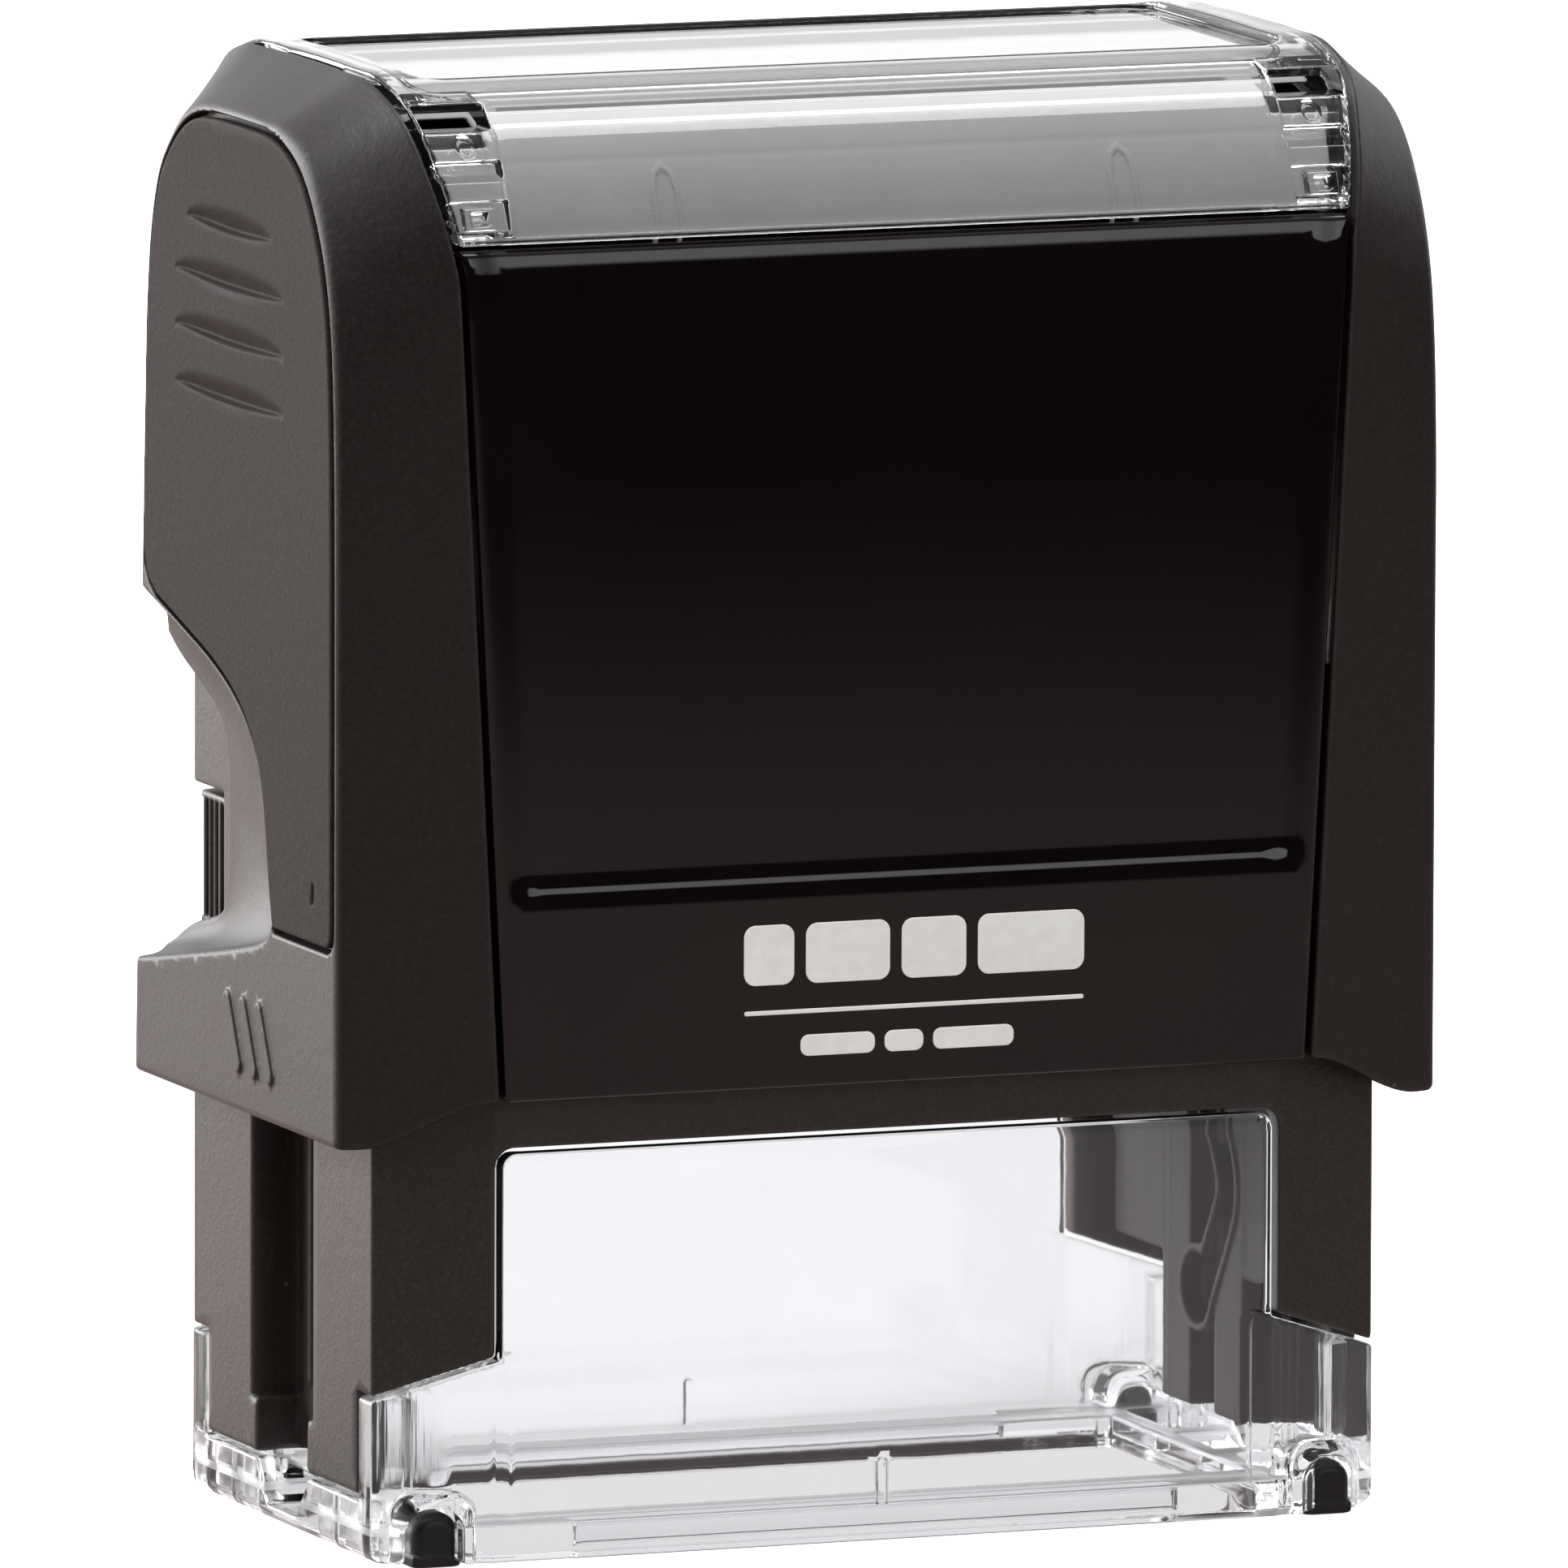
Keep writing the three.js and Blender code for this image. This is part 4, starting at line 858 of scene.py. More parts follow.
def noise(nt, vec, scale, detail=4.0, rough=0.55, dist=0.0):
    n = nt.nodes.new("ShaderNodeTexNoise")
    n.inputs["Scale"].default_value = scale
    n.inputs["Detail"].default_value = detail
    n.inputs["Roughness"].default_value = rough
    n.inputs["Distortion"].default_value = dist
    nt.links.new(vec, n.inputs["Vector"])
    return n.outputs["Fac"]


def rise(nt, fac, a, b):
    n = nt.nodes.new("ShaderNodeMapRange")
    n.interpolation_type = "SMOOTHSTEP"
    n.inputs["From Min"].default_value = a
    n.inputs["From Max"].default_value = b
    nt.links.new(fac, n.inputs["Value"])
    return n.outputs["Result"]


def ramp(nt, fac, a, b, ca=(0, 0, 0, 1), cb=(1, 1, 1, 1)):
    n = nt.nodes.new("ShaderNodeValToRGB")
    n.color_ramp.elements[0].position = a
    n.color_ramp.elements[1].position = b
    n.color_ramp.elements[0].color = ca
    n.color_ramp.elements[1].color = cb
    nt.links.new(fac, n.inputs["Fac"])
    return n.outputs["Color"]


def math_node(nt, op, a, b=None, clamp=False):
    n = nt.nodes.new("ShaderNodeMath")
    n.operation = op
    n.use_clamp = clamp
    for i, v in enumerate((a, b)):
        if v is None:
            continue
        if isinstance(v, (int, float)):
            n.inputs[i].default_value = v
        else:
            nt.links.new(v, n.inputs[i])
    return n.outputs[0]


def mix_col(nt, fac, a, b):
    n = nt.nodes.new("ShaderNodeMix")
    n.data_type = "RGBA"
    for key, v in (("Factor", fac), ("A", a), ("B", b)):
        sock = [s for s in n.inputs if s.name == key and (s.type == "RGBA" if key != "Factor" else s.type == "VALUE")][0]
        if isinstance(v, (int, float)):
            sock.default_value = v
        elif isinstance(v, tuple):
            sock.default_value = v
        else:
            nt.links.new(v, sock)
    return [o for o in n.outputs if o.type == "RGBA"][0]


def coords(nt):
    return nt.nodes.new("ShaderNodeTexCoord").outputs["Object"]


def bump(nt, height, strength, dist, normal=None):
    n = nt.nodes.new("ShaderNodeBump")
    n.inputs["Strength"].default_value = strength
    n.inputs["Distance"].default_value = dist
    nt.links.new(height, n.inputs["Height"])
    if normal is not None:
        nt.links.new(normal, n.inputs["Normal"])
    return n.outputs["Normal"]


def srgb(r, g, b):
    def lin(c):
        c /= 255
        return c / 12.92 if c <= 0.04045 else ((c + 0.055) / 1.055) ** 2.4
    return (lin(r), lin(g), lin(b), 1.0)


def dust(nt, vec, scale, size):
    """Sparse tiny specks."""
    n = nt.nodes.new("ShaderNodeTexVoronoi")
    n.inputs["Scale"].default_value = scale
    nt.links.new(vec, n.inputs["Vector"])
    near = math_node(nt, "LESS_THAN", n.outputs["Distance"], size)
    pick = math_node(nt, "GREATER_THAN", n.outputs["Color"], 0.55)
    return math_node(nt, "MULTIPLY", near, pick)


def matte_plastic(name, dark, light, rough=(0.42, 0.56), grain=3600.0, depth=0.00003, wear=0.35, spec=0.5, sheen=0.0, dull_inside=False):
    """Spark-eroded moulded plastic: fine grain, faint cloudiness, paler rubbed edges, a few dust specks."""
    m, nt, out = new_mat(name)
    b = nt.nodes.new("ShaderNodeBsdfPrincipled")
    co = coords(nt)
    cloud = noise(nt, co, 90.0, 5.0, 0.6)
    fine = noise(nt, co, grain, 2.0, 0.6)
    mid = noise(nt, co, grain * 0.35, 3.0, 0.6)
    col = mix_col(nt, ramp(nt, cloud, 0.3, 0.75), dark, light)
    col = mix_col(nt, math_node(nt, "MULTIPLY", dust(nt, co, 170.0, 0.022), 0.35), col, srgb(130, 124, 120))
    a = nt.nodes.new("ShaderNodeAttribute")
    a.attribute_name = "wear"
    edge = math_node(nt, "MULTIPLY", ramp(nt, a.outputs["Fac"], 0.12, 0.75), math_node(nt, "ADD", math_node(nt, "MULTIPLY", noise(nt, co, 320.0, 4.0, 0.7), 1.2), -0.15, True), True)
    col = mix_col(nt, math_node(nt, "MULTIPLY", edge, wear), col, srgb(96, 92, 90))
    col = mix_col(nt, math_node(nt, "MULTIPLY", ramp(nt, fine, 0.45, 0.72), 0.5), col, tuple(c * 3.0 for c in light[:3]) + (1,))
    nt.links.new(col, b.inputs["Base Color"])
    r = nt.nodes.new("ShaderNodeMapRange")
    r.inputs["To Min"].default_value = rough[0]
    r.inputs["To Max"].default_value = rough[1]
    nt.links.new(math_node(nt, "ADD", math_node(nt, "MULTIPLY", cloud, 0.6), math_node(nt, "MULTIPLY", fine, 0.4)), r.inputs["Value"])
    rough_out = r.outputs["Result"]
    if dull_inside:
        # the inner faces of the walls come off a coarser core of the mould
        sep = nt.nodes.new("ShaderNodeSeparateXYZ")
        nt.links.new(co, sep.inputs[0])
        core = math_node(nt, "SUBTRACT", 1.0, rise(nt, math_node(nt, "ABSOLUTE", sep.outputs["X"]), 0.0283, 0.0286))
        core = math_node(nt, "MULTIPLY", core, math_node(nt, "SUBTRACT", 1.0, rise(nt, math_node(nt, "ABSOLUTE", sep.outputs["Y"]), 0.0150, 0.0153)))
        rough_out = math_node(nt, "ADD", rough_out, math_node(nt, "MULTIPLY", core, 0.36))
    nt.links.new(rough_out, b.inputs["Roughness"])
    b.inputs["Specular IOR Level"].default_value = spec
    b.inputs["Sheen Weight"].default_value = sheen
    h = math_node(nt, "ADD", math_node(nt, "MULTIPLY", fine, 0.6), math_node(nt, "MULTIPLY", mid, 0.7))
    nt.links.new(bump(nt, h, 0.8, depth), b.inputs["Normal"])
    nt.links.new(b.outputs[0], out.inputs["Surface"])
    return m


def gloss_plastic(name):
    m, nt, out = new_mat(name)
    b = nt.nodes.new("ShaderNodeBsdfPrincipled")
    co = coords(nt)
    cloud = noise(nt, co, 60.0, 4.0, 0.6)
    col = mix_col(nt, ramp(nt, cloud, 0.3, 0.7), srgb(10, 6, 7), srgb(14, 9, 9))
    col = mix_col(nt, math_node(nt, "MULTIPLY", dust(nt, co, 80.0, 0.007), 0.6), col, srgb(150, 142, 136))
    nt.links.new(col, b.inputs["Base Color"])
    scuff = ramp(nt, noise(nt, co, 700.0, 6.0, 0.75, 2.0), 0.45, 0.9)
    r = nt.nodes.new("ShaderNodeMapRange")
    r.inputs["To Min"].default_value = 0.02
    r.inputs["To Max"].default_value = 0.06
    nt.links.new(scuff, r.inputs["Value"])
    nt.links.new(r.outputs["Result"], b.inputs["Roughness"])
    b.inputs["Specular IOR Level"].default_value = 0.5
    peel = noise(nt, co, 130.0, 2.0, 0.5)
    nt.links.new(bump(nt, peel, 0.2, 0.00001), b.inputs["Normal"])
    nt.links.new(b.outputs[0], out.inputs["Surface"])
    return m


def clear_plastic(name, tint=(0.955, 0.955, 0.97, 1), rough=0.015, frosted_floor=False, milk=0.0):
    m, nt, out = new_mat(name)
    b = nt.nodes.new("ShaderNodeBsdfPrincipled")
    co = coords(nt)
    b.inputs["Transmission Weight"].default_value = 1.0
    b.inputs["IOR"].default_value = 1.49
    smear = noise(nt, co, 160.0, 5.0, 0.65, 0.5)
    col = mix_col(nt, ramp(nt, smear, 0.25, 0.8), tint, tuple(c * 0.965 for c in tint[:3]) + (1,))
    nt.links.new(col, b.inputs["Base Color"])
    r = nt.nodes.new("ShaderNodeMapRange")
    r.inputs["To Min"].default_value = rough
    r.inputs["To Max"].default_value = rough * 2.5 + 0.01
    nt.links.new(smear, r.inputs["Value"])
    rough_out = r.outputs["Result"]
    height = noise(nt, co, 220.0, 3.0, 0.55)
    normal = bump(nt, height, 0.25, 0.00002)
    if frosted_floor:
        sep = nt.nodes.new("ShaderNodeSeparateXYZ")
        nt.links.new(co, sep.inputs[0])
        low = math_node(nt, "LESS_THAN", sep.outputs["Z"], 0.00215)
        up = math_node(nt, "GREATER_THAN", sep.outputs["Z"], 0.0017)
        inx = math_node(nt, "LESS_THAN", math_node(nt, "ABSOLUTE", sep.outputs["Y"]), 0.0154)
        zone = math_node(nt, "MULTIPLY", math_node(nt, "MULTIPLY", low, up), inx)
        rough_out = math_node(nt, "ADD", rough_out, math_node(nt, "MULTIPLY", zone, 0.33))
        grain = noise(nt, co, 2600.0, 3.0, 0.7)
        normal = bump(nt, math_node(nt, "MULTIPLY", grain, zone), 0.6, 0.00005, normal)
        # upright flow marks in the corner columns, and a duller low wall
        ax = math_node(nt, "ABSOLUTE", sep.outputs["X"])
        column = math_node(nt, "MULTIPLY", rise(nt, ax, 0.0266, 0.0276), rise(nt, sep.outputs["Z"], 0.0044, 0.0056))
        low_wall = math_node(nt, "MULTIPLY", rise(nt, ax, 0.0285, 0.0295), math_node(nt, "SUBTRACT", 1.0, rise(nt, sep.outputs["Z"], 0.0044, 0.0056)))
        rough_out = math_node(nt, "ADD", rough_out, math_node(nt, "MULTIPLY", column, 0.16))
        rough_out = math_node(nt, "ADD", rough_out, math_node(nt, "MULTIPLY", low_wall, 0.10))
        tall = nt.nodes.new("ShaderNodeVectorMath")
        tall.operation = "MULTIPLY"
        tall.inputs[1].default_value = (1.0, 1.0, 0.03)
        nt.links.new(co, tall.inputs[0])
        marks = noise(nt, tall.outputs[0], 1500.0, 3.0, 0.6)
        normal = bump(nt, math_node(nt, "MULTIPLY", marks, column), 0.8, 0.00022, normal)
    nt.links.new(rough_out, b.inputs["Roughness"])
    nt.links.new(normal, b.inputs["Normal"])
    final = b.outputs[0]
    # light passes on through the clear wall to what lies behind it
    lp = nt.nodes.new("ShaderNodeLightPath")
    thru = nt.nodes.new("ShaderNodeBsdfTransparent")
    thru.inputs["Color"].default_value = (0.93, 0.935, 0.94, 1)
    pas = nt.nodes.new("ShaderNodeMixShader")
    nt.links.new(math_node(nt, "ADD", lp.outputs["Is Shadow Ray"], lp.outputs["Is Diffuse Ray"], True), pas.inputs[0])
    nt.links.new(final, pas.inputs[1])
    nt.links.new(thru.outputs[0], pas.inputs[2])
    final = pas.outputs[0]
    if milk:
        d = nt.nodes.new("ShaderNodeBsdfTranslucent")
        d.inputs["Color"].default_value = (0.9, 0.9, 0.93, 1)
        d2 = nt.nodes.new("ShaderNodeBsdfDiffuse")
        d2.inputs["Color"].default_value = (0.8, 0.8, 0.83, 1)
        a = nt.nodes.new("ShaderNodeMixShader")
        nt.links.new(d.outputs[0], a.inputs[1])
        nt.links.new(d2.outputs[0], a.inputs[2])
        a.inputs[0].default_value = 0.5
        mix = nt.nodes.new("ShaderNodeMixShader")
        mix.inputs[0].default_value = milk
        nt.links.new(final, mix.inputs[1])
        nt.links.new(a.outputs[0], mix.inputs[2])
        final = mix.outputs[0]
    nt.links.new(final, out.inputs["Surface"])
    return m


def simple(name, a, b_, rough=(0.4, 0.6), scale=600.0, metal=0.0, depth=0.00002, spec=0.5, fibres=False):
    m, nt, out = new_mat(name)
    b = nt.nodes.new("ShaderNodeBsdfPrincipled")
    co = coords(nt)
    if fibres:
        mp = nt.nodes.new("ShaderNodeMapping")
        mp.inputs["Scale"].default_value = (1.0, 6.0, 6.0)
        nt.links.new(co, mp.inputs["Vector"])
        vec = mp.outputs[0]
    else:
        vec = co
    n1 = noise(nt, vec, scale, 5.0, 0.65)
    n2 = noise(nt, co, scale * 0.12, 3.0, 0.6)
    fac = math_node(nt, "ADD", math_node(nt, "MULTIPLY", n1, 0.6), math_node(nt, "MULTIPLY", n2, 0.4))
    nt.links.new(mix_col(nt, ramp(nt, fac, 0.3, 0.7), a, b_), b.inputs["Base Color"])
    r = nt.nodes.new("ShaderNodeMapRange")
    r.inputs["To Min"].default_value = rough[0]
    r.inputs["To Max"].default_value = rough[1]
    nt.links.new(fac, r.inputs["Value"])
    nt.links.new(r.outputs["Result"], b.inputs["Roughness"])
    b.inputs["Metallic"].default_value = metal
    b.inputs["Specular IOR Level"].default_value = spec
    nt.links.new(bump(nt, n1, 0.5, depth), b.inputs["Normal"])
    nt.links.new(b.outputs[0], out.inputs["Surface"])
    return m


M_ARM = matte_plastic("moulded_black_arm", srgb(17, 12, 10), srgb(23, 16, 14), (0.38, 0.52), wear=0.14, spec=0.5)
M_GRIP = matte_plastic("soft_black_grip", srgb(28, 22, 21), srgb(36, 30, 28), (0.58, 0.72), grain=4000.0, depth=0.00003, wear=0.18, spec=0.12)
M_FRAME = matte_plastic("moulded_black_frame", srgb(26, 20, 17), srgb(33, 26, 23), (0.36, 0.50), grain=4000.0, depth=0.00004, wear=0.2, spec=0.60, dull_inside=True)
M_GLOSS = gloss_plastic("piano_black")
M_CLEAR = clear_plastic("clear_styrene", frosted_floor=True)
M_WINDOW = clear_plastic("clear_window_styrene")
M_RUBBER = simple("foot_rubber", srgb(16, 15, 16), srgb(26, 25, 26), (0.30, 0.45), 1500.0, spec=0.35)
M_STEEL = simple("spring_wire", srgb(165, 168, 172), srgb(205, 206, 208), (0.18, 0.34), 900.0, 1.0, 0.000006)
M_CARD = simple("paper_card", srgb(136, 133, 134), srgb(146, 143, 144), (0.8, 0.95), 1800.0, 0.0, 0.00001, 0.2, True)
M_TAPE = simple("foam_tape", srgb(84, 80, 77), srgb(104, 99, 95), (0.85, 0.95), 2400.0, 0.0, 0.00008, 0.2)
M_DIE = simple("die_rubber", srgb(134, 44, 40), srgb(156, 58, 50), (0.55, 0.75), 1300.0, 0.0, 0.00003, 0.35)
M_INK = simple("ink_felt", srgb(20, 18, 26), srgb(36, 32, 44), (0.7, 0.95), 2600.0, 0.0, 0.0001, 0.3)
M_PRINT = simple("white_print", srgb(232, 230, 224), srgb(248, 247, 242), (0.5, 0.7), 900.0, 0.0, 0.00001, 0.3)

# ---------------------------------------------------------------- pieces


def put(ob, body, mat, slot, *nodes):
    ob.data.materials.clear()
    ob.data.materials.append(mat)
    if nodes:
        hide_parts(*nodes)
    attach(ob, body)
    return ob


arm = arm_cover()
put(arm, "cap", M_ARM, "arm_black", "arm_cover_right")
put(MIRROR["side_arm_left"], "cap", M_ARM, "arm_black", "arm_cover_left")
g_ = grip()
put(g_, "cap", M_GRIP, "grip_black", "grip_inset_right")
put(MIRROR["thumb_grip_left"], "cap", M_GRIP, "grip_black", "grip_inset_left")
panel = put(gloss_front(), "cap", M_GLOSS, "gloss_black", "cap_shell")
put(gloss_back(), "cap", M_GLOSS, "gloss_black")
put(roof(), "cap", M_GLOSS, "gloss_black")
put(window_cover(), "window", M_WINDOW, "clear_plastic", "index_window_cover")
put(index_card(), "cap", M_CARD, "card_grey", "index_card")
put(lower_frame(), "housing", M_FRAME, "frame_black", "lower_frame")
put(clear_base(), "housing", M_CLEAR, "clear_plastic", "base_foot_clear")
feet = rubber_feet()
for name, node in (("rubber_foot_front_left", "anti_slip_foot_front_left"), ("rubber_foot_front_right", "anti_slip_foot_front_right"),
                   ("rubber_foot_rear_left", "anti_slip_foot_rear_left"), ("rubber_foot_rear_right", "anti_slip_foot_rear_right")):
    put(feet[name], "housing", M_RUBBER, "foot_rubber", node)
put(cartridge(), "cartridge", M_FRAME, "frame_black", "ink_cartridge_tray")
put(lock_button("release_button_left", -15.5), "button_left", M_ARM, "arm_black", "lock_button_left")
put(lock_button("release_button_right", 15.5), "button_right", M_ARM, "arm_black", "lock_button_right")
put(latch_bar(), "cap", M_GLOSS, "gloss_black", "rear_latch_bar")
spring = put(main_spring(), "housing", M_STEEL, "spring_steel", "main_spring")
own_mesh(spring)
put(printed_mark(), "cap", M_PRINT, "card_grey")
# painted shade: a black bead put along the edge of the sunk top, where the window shows a dark line
put(painted_shade_bead(), "window", M_GLOSS, "gloss_black")

for node, mat in (("inner_bow", M_FRAME), ("die_carrier", M_FRAME), ("die_cushion_tape", M_TAPE), ("die_rubber_plate", M_DIE), ("ink_pad", M_INK)):
    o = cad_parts[node]
    o.data.materials.clear()
    o.data.materials.append(mat)

# ---------------------------------------------------------------- stage, light, camera
scene = bpy.context.scene
scene.view_settings.view_transform = "Standard"
scene.view_settings.look = "None"
scene.view_settings.exposure = 0.0
scene.view_settings.gamma = 1.0

# floor disc
n = 96
verts = [(0.0, 0.0, 0.0)]
for r in (0.06, 0.12, 0.25, 0.5, 1.0, 2.2):
    verts += [(r * math.cos(2 * math.pi * k / n), r * math.sin(2 * math.pi * k / n), 0.0) for k in range(n)]
faces = [(0, 1 + k, 1 + (k + 1) % n) for k in range(n)]
for ring in range(5):
    a, b = 1 + ring * n, 1 + (ring + 1) * n
    faces += [(a + k, b + k, b + (k + 1) % n, a + (k + 1) % n) for k in range(n)]
me = bpy.data.meshes.new("floor")
me.from_pydata([(x, y, z - 0.00005) for x, y, z in verts], [], faces)
me.update()
floor = bpy.data.objects.new("floor", me)
scene.collection.objects.link(floor)
m, nt, out = new_mat("studio_floor")
d = nt.nodes.new("ShaderNodeBsdfDiffuse")
d.inputs["Color"].default_value = (0.86, 0.86, 0.86, 1)
e = nt.nodes.new("ShaderNodeEmission")
e.inputs["Color"].default_value = (1, 1, 1, 1)
e.inputs["Strength"].default_value = 0.78
add = nt.nodes.new("ShaderNodeAddShader")
nt.links.new(d.outputs[0], add.inputs[0])
nt.links.new(e.outputs[0], add.inputs[1])
# painted reflection: glossy rays see the floor glow, bright behind and falling away to dark in front, as the light
# that polished plastic mirrors
tc = nt.nodes.new("ShaderNodeTexCoord")
length = nt.nodes.new("ShaderNodeVectorMath")
length.operation = "LENGTH"
nt.links.new(tc.outputs["Object"], length.inputs[0])
fall = nt.nodes.new("ShaderNodeMapRange")
fall.interpolation_type = "SMOOTHSTEP"
fall.inputs["From Min"].default_value = 0.24
fall.inputs["From Max"].default_value = 0.52
fall.inputs["To Min"].default_value = 0.44
fall.inputs["To Max"].default_value = 0.03
nt.links.new(length.outputs["Value"], fall.inputs["Value"])
sep = nt.nodes.new("ShaderNodeSeparateXYZ")
nt.links.new(tc.outputs["Object"], sep.inputs[0])
share = math_node(nt, "DIVIDE", sep.outputs["Y"], math_node(nt, "ADD", length.outputs["Value"], 0.02))
behind = nt.nodes.new("ShaderNodeMapRange")
behind.interpolation_type = "SMOOTHSTEP"
behind.inputs["From Min"].default_value = 0.0
behind.inputs["From Max"].default_value = 0.7
behind.inputs["To Min"].default_value = 0.0
behind.inputs["To Max"].default_value = 1.08
nt.links.new(share, behind.inputs["Value"])
floor_reflection_glow = nt.nodes.new("ShaderNodeEmission")
floor_reflection_glow.inputs["Color"].default_value = (1.0, 0.81, 0.76, 1)
nt.links.new(math_node(nt, "MAXIMUM", fall.outputs["Result"], behind.outputs["Result"]), floor_reflection_glow.inputs["Strength"])
# painted glow: diffuse rays see the floor as an even emitter, which lights the object as painted bounce light
d2 = nt.nodes.new("ShaderNodeEmission")
d2.inputs["Color"].default_value = (1.0, 0.96, 0.94, 1)
d2.inputs["Strength"].default_value = 0.50
lp = nt.nodes.new("ShaderNodeLightPath")
mix = nt.nodes.new("ShaderNodeMixShader")
mirror = math_node(nt, "MULTIPLY", lp.outputs["Is Glossy Ray"], math_node(nt, "SUBTRACT", 1.0, lp.outputs["Is Transmission Ray"], True))
nt.links.new(mirror, mix.inputs[0])
mix0 = nt.nodes.new("ShaderNodeMixShader")
nt.links.new(lp.outputs["Is Diffuse Ray"], mix0.inputs[0])
nt.links.new(add.outputs[0], mix0.inputs[1])
nt.links.new(d2.outputs[0], mix0.inputs[2])
# painted glow: rays through clear plastic see the floor glow, bright near the middle and behind, in place of its lit
# and shaded look
floor_glow_through_clear = nt.nodes.new("ShaderNodeEmission")
floor_glow_through_clear.inputs["Color"].default_value = (1.0, 0.995, 1.0, 1)
nt.links.new(math_node(nt, "MAXIMUM", math_node(nt, "MULTIPLY", fall.outputs["Result"], 1.85), behind.outputs["Result"]), floor_glow_through_clear.inputs["Strength"])
mix1 = nt.nodes.new("ShaderNodeMixShader")
nt.links.new(lp.outputs["Is Transmission Ray"], mix1.inputs[0])
nt.links.new(mix0.outputs[0], mix1.inputs[1])
nt.links.new(floor_glow_through_clear.outputs[0], mix1.inputs[2])
nt.links.new(mix1.outputs[0], mix.inputs[1])
nt.links.new(floor_reflection_glow.outputs[0], mix.inputs[2])
nt.links.new(mix.outputs[0], out.inputs["Surface"])
me.materials.append(m)

# world: white seen directly and through clear plastic, dark in front for reflections
world = bpy.data.worlds.new("studio")
scene.world = world
world.use_nodes = True
nt = world.node_tree
nt.nodes.clear()
out = nt.nodes.new("ShaderNodeOutputWorld")
lp = nt.nodes.new("ShaderNodeLightPath")
tc = nt.nodes.new("ShaderNodeTexCoord")
sep = nt.nodes.new("ShaderNodeSeparateXYZ")
nt.links.new(tc.outputs["Generated"], sep.inputs[0])
back = nt.nodes.new("ShaderNodeMapRange")
back.interpolation_type = "SMOOTHSTEP"
back.inputs["From Min"].default_value = -0.05
back.inputs["From Max"].default_value = 0.75
back.inputs["To Min"].default_value = 0.02
back.inputs["To Max"].default_value = 1.35
nt.links.new(sep.outputs["Y"], back.inputs["Value"])
top = nt.nodes.new("ShaderNodeMapRange")
top.interpolation_type = "SMOOTHSTEP"
top.inputs["From Min"].default_value = 0.160
top.inputs["From Max"].default_value = 0.185
top.inputs["To Min"].default_value = 0.0
top.inputs["To Max"].default_value = 2.0
nt.links.new(sep.outputs["Z"], top.inputs["Value"])
# the front softbox stands to the right of the middle and ends half way up
side = nt.nodes.new("ShaderNodeMapRange")
side.interpolation_type = "SMOOTHSTEP"
side.inputs["From Min"].default_value = -0.25
side.inputs["From Max"].default_value = 0.15
nt.links.new(sep.outputs["X"], side.inputs["Value"])
cap_ = nt.nodes.new("ShaderNodeMapRange")
cap_.interpolation_type = "SMOOTHSTEP"
cap_.inputs["From Min"].default_value = 0.32
cap_.inputs["From Max"].default_value = 0.50
cap_.inputs["To Min"].default_value = 1.0
cap_.inputs["To Max"].default_value = 0.15
nt.links.new(sep.outputs["Z"], cap_.inputs["Value"])
ahead = nt.nodes.new("ShaderNodeMapRange")
ahead.interpolation_type = "SMOOTHSTEP"
ahead.inputs["From Min"].default_value = -0.55
ahead.inputs["From Max"].default_value = -0.20
ahead.inputs["To Min"].default_value = 1.0
ahead.inputs["To Max"].default_value = 0.0
nt.links.new(sep.outputs["Y"], ahead.inputs["Value"])
dim = nt.nodes.new("ShaderNodeMapRange")
dim.interpolation_type = "SMOOTHSTEP"
dim.inputs["From Min"].default_value = 0.38
dim.inputs["From Max"].default_value = 0.60
dim.inputs["To Min"].default_value = 1.0
dim.inputs["To Max"].default_value = 0.40
nt.links.new(sep.outputs["Z"], dim.inputs["Value"])
back_ = math_node(nt, "MULTIPLY", back.outputs["Result"], dim.outputs["Result"])
front = math_node(nt, "MULTIPLY", math_node(nt, "MULTIPLY", top.outputs["Result"], cap_.outputs["Result"]), math_node(nt, "MULTIPLY", side.outputs["Result"], ahead.outputs["Result"]))
high = nt.nodes.new("ShaderNodeMapRange")
high.interpolation_type = "SMOOTHSTEP"
high.inputs["From Min"].default_value = 0.62
high.inputs["From Max"].default_value = 0.95
high.inputs["To Max"].default_value = 0.9
nt.links.new(sep.outputs["Z"], high.inputs["Value"])
glossy = math_node(nt, "MAXIMUM", math_node(nt, "MAXIMUM", back_, front), high.outputs["Result"])
# even, slightly top-heavy light for matt surfaces
right_ = nt.nodes.new("ShaderNodeMapRange")
right_.interpolation_type = "SMOOTHSTEP"
right_.inputs["From Min"].default_value = 0.30
right_.inputs["From Max"].default_value = 0.80
right_.inputs["To Min"].default_value = 1.0
right_.inputs["To Max"].default_value = 0.22
nt.links.new(sep.outputs["X"], right_.inputs["Value"])
glossy = math_node(nt, "MULTIPLY", glossy, right_.outputs["Result"])
soft = math_node(nt, "ADD", math_node(nt, "MULTIPLY", sep.outputs["Z"], 0.80), 0.50)
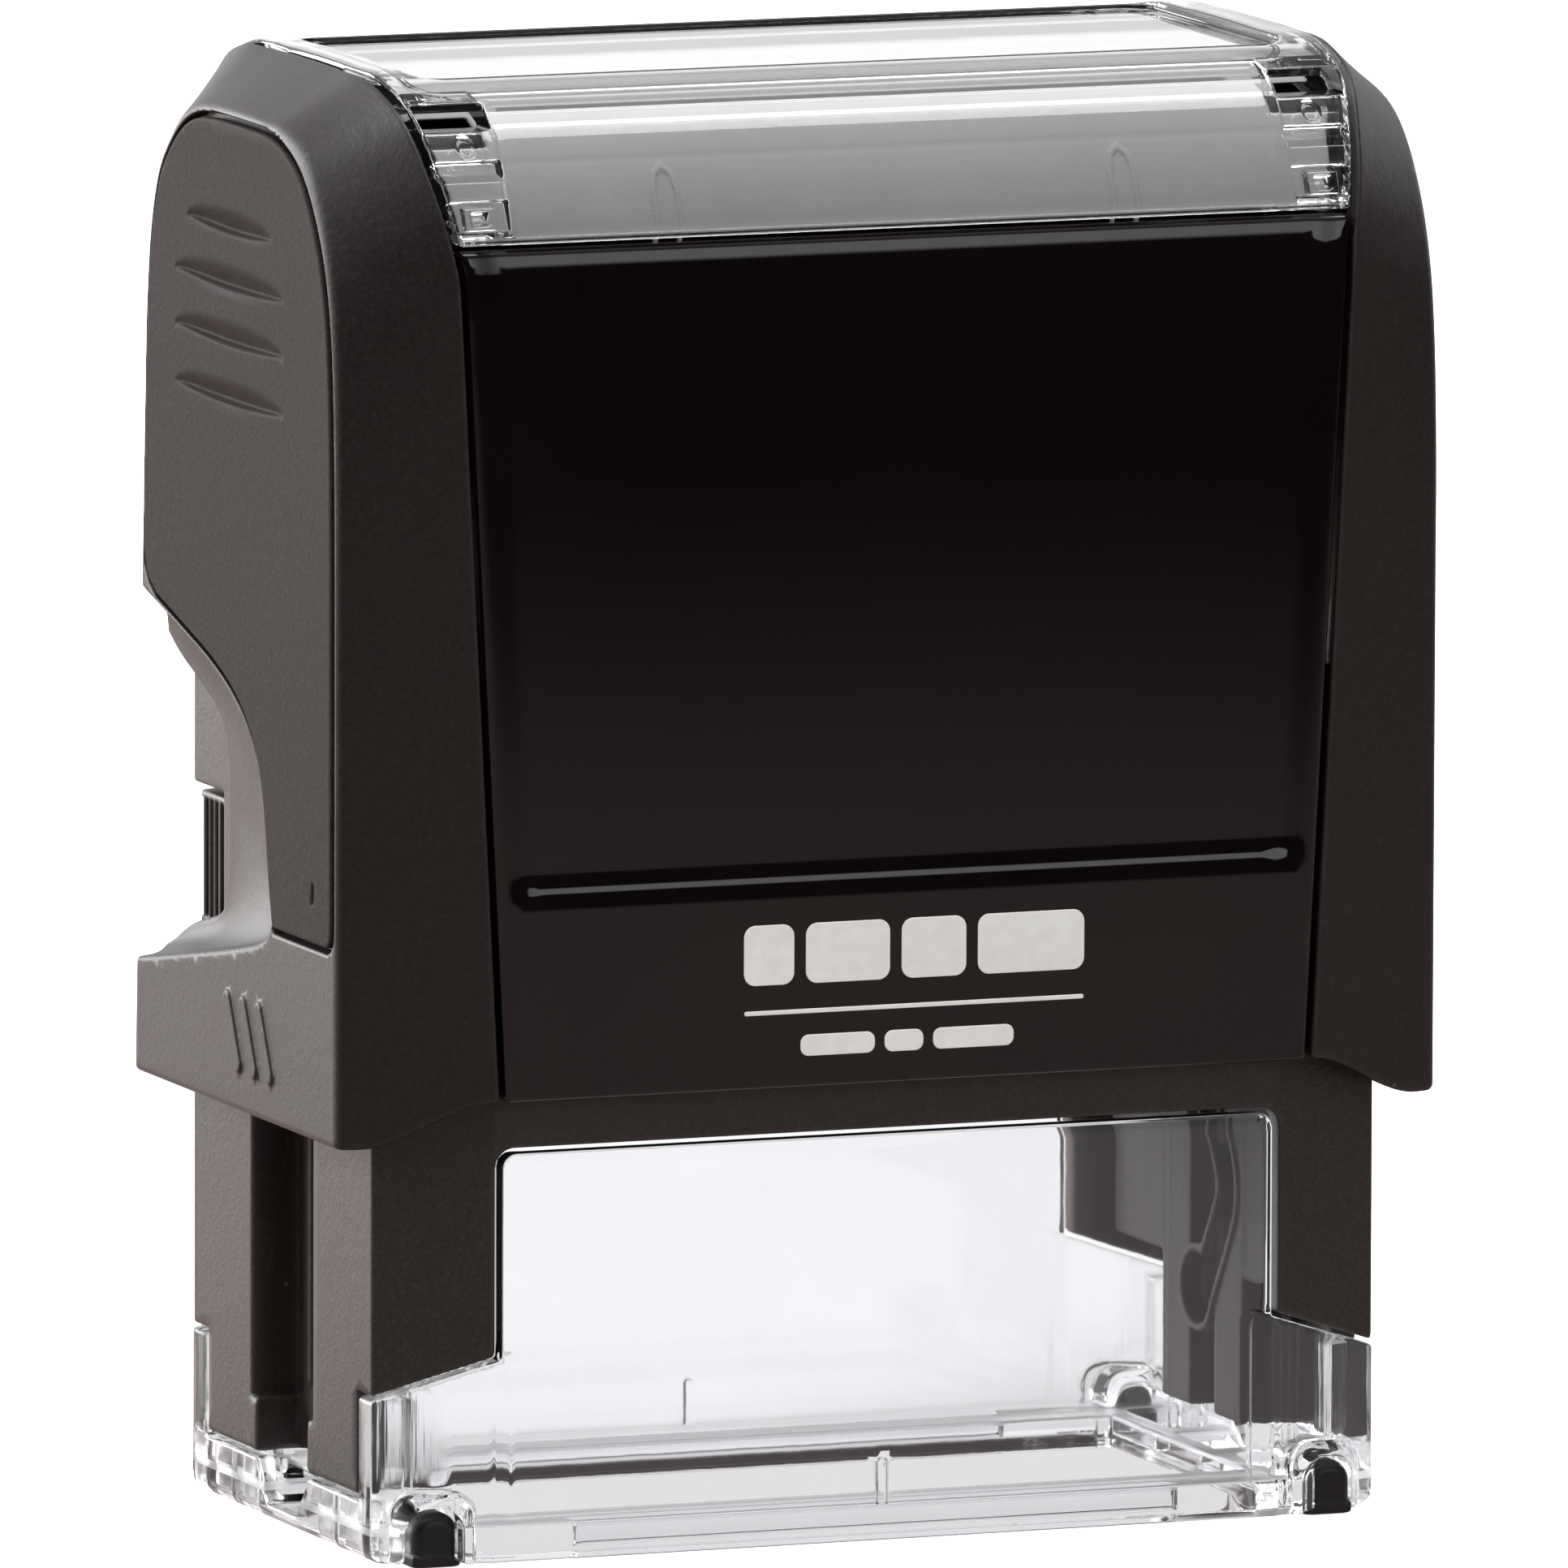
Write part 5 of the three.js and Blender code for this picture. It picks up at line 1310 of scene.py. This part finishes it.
# what clear plastic bends into view: white behind and above, dark in front
beyond = nt.nodes.new("ShaderNodeMapRange")
beyond.interpolation_type = "SMOOTHSTEP"
beyond.inputs["From Min"].default_value = -0.45
beyond.inputs["From Max"].default_value = 0.10
beyond.inputs["To Min"].default_value = 0.10
beyond.inputs["To Max"].default_value = 1.08
nt.links.new(sep.outputs["Y"], beyond.inputs["Value"])
through = math_node(nt, "MAXIMUM", math_node(nt, "MULTIPLY", beyond.outputs["Result"], dim.outputs["Result"]), high.outputs["Result"])
inner = nt.nodes.new("ShaderNodeMix")
inner.data_type = "FLOAT"
nt.links.new(lp.outputs["Is Glossy Ray"], inner.inputs[0])
nt.links.new(soft, inner.inputs[2])
nt.links.new(glossy, inner.inputs[3])
trans = nt.nodes.new("ShaderNodeMix")
trans.data_type = "FLOAT"
nt.links.new(lp.outputs["Is Transmission Ray"], trans.inputs[0])
nt.links.new(inner.outputs[0], trans.inputs[2])
nt.links.new(through, trans.inputs[3])
final = nt.nodes.new("ShaderNodeMix")
final.data_type = "FLOAT"
nt.links.new(lp.outputs["Is Camera Ray"], final.inputs[0])
nt.links.new(trans.outputs[0], final.inputs[2])
final.inputs[3].default_value = 1.0
bg = nt.nodes.new("ShaderNodeBackground")
bg.inputs["Color"].default_value = (1, 1, 1, 1)
nt.links.new(final.outputs[0], bg.inputs["Strength"])
nt.links.new(bg.outputs[0], out.inputs["Surface"])


def area(name, at, look, size, power, size_y=None):
    l = bpy.data.lights.new(name, "AREA")
    l.energy = power
    l.shape = "RECTANGLE" if size_y else "SQUARE"
    l.size = size
    if size_y:
        l.size_y = size_y
    o = bpy.data.objects.new(name, l)
    o.location = at
    o.rotation_euler = (Vector(look) - Vector(at)).to_track_quat("-Z", "Y").to_euler()
    scene.collection.objects.link(o)
    return o


CENTRE = (0, 0, 0.045)
area("key_left", (-0.62, 0.40, 0.30), CENTRE, 0.45, 5.2, 0.5)
area("top_soft", (0.0, -0.02, 0.78), CENTRE, 0.8, 5.0, 0.30)
area("strip_back_left", (-0.30, 0.62, 0.16), CENTRE, 0.10, 1.6, 0.30)
area("back_right", (0.62, 0.35, 0.25), CENTRE, 0.4, 0.5, 0.4)

PHI, ELEV, ROLL = math.radians(21.318), math.radians(7.959), math.radians(0.176)
away = Vector((-math.sin(PHI) * math.cos(ELEV), -math.cos(PHI) * math.cos(ELEV), math.sin(ELEV)))
target = Vector((0.000044, 0.0, 0.042))
fwd = -away
right = fwd.cross(Vector((0, 0, 1))).normalized()
up = right.cross(fwd)
right2 = right * math.cos(ROLL) + up * math.sin(ROLL)
up2 = -right * math.sin(ROLL) + up * math.cos(ROLL)
cam = bpy.data.cameras.new("camera")
cam.lens = 732.44
cam.sensor_width = 36.0
cam.sensor_fit = "HORIZONTAL"
cam.clip_start = 0.01
cam.clip_end = 20.0
cam_ob = bpy.data.objects.new("camera", cam)
rot = Matrix((right2, up2, -fwd)).transposed().to_4x4()
cam_ob.matrix_world = Matrix.Translation(target + away * 1.85478) @ rot
scene.collection.objects.link(cam_ob)
scene.camera = cam_ob

bpy.context.view_layer.update()
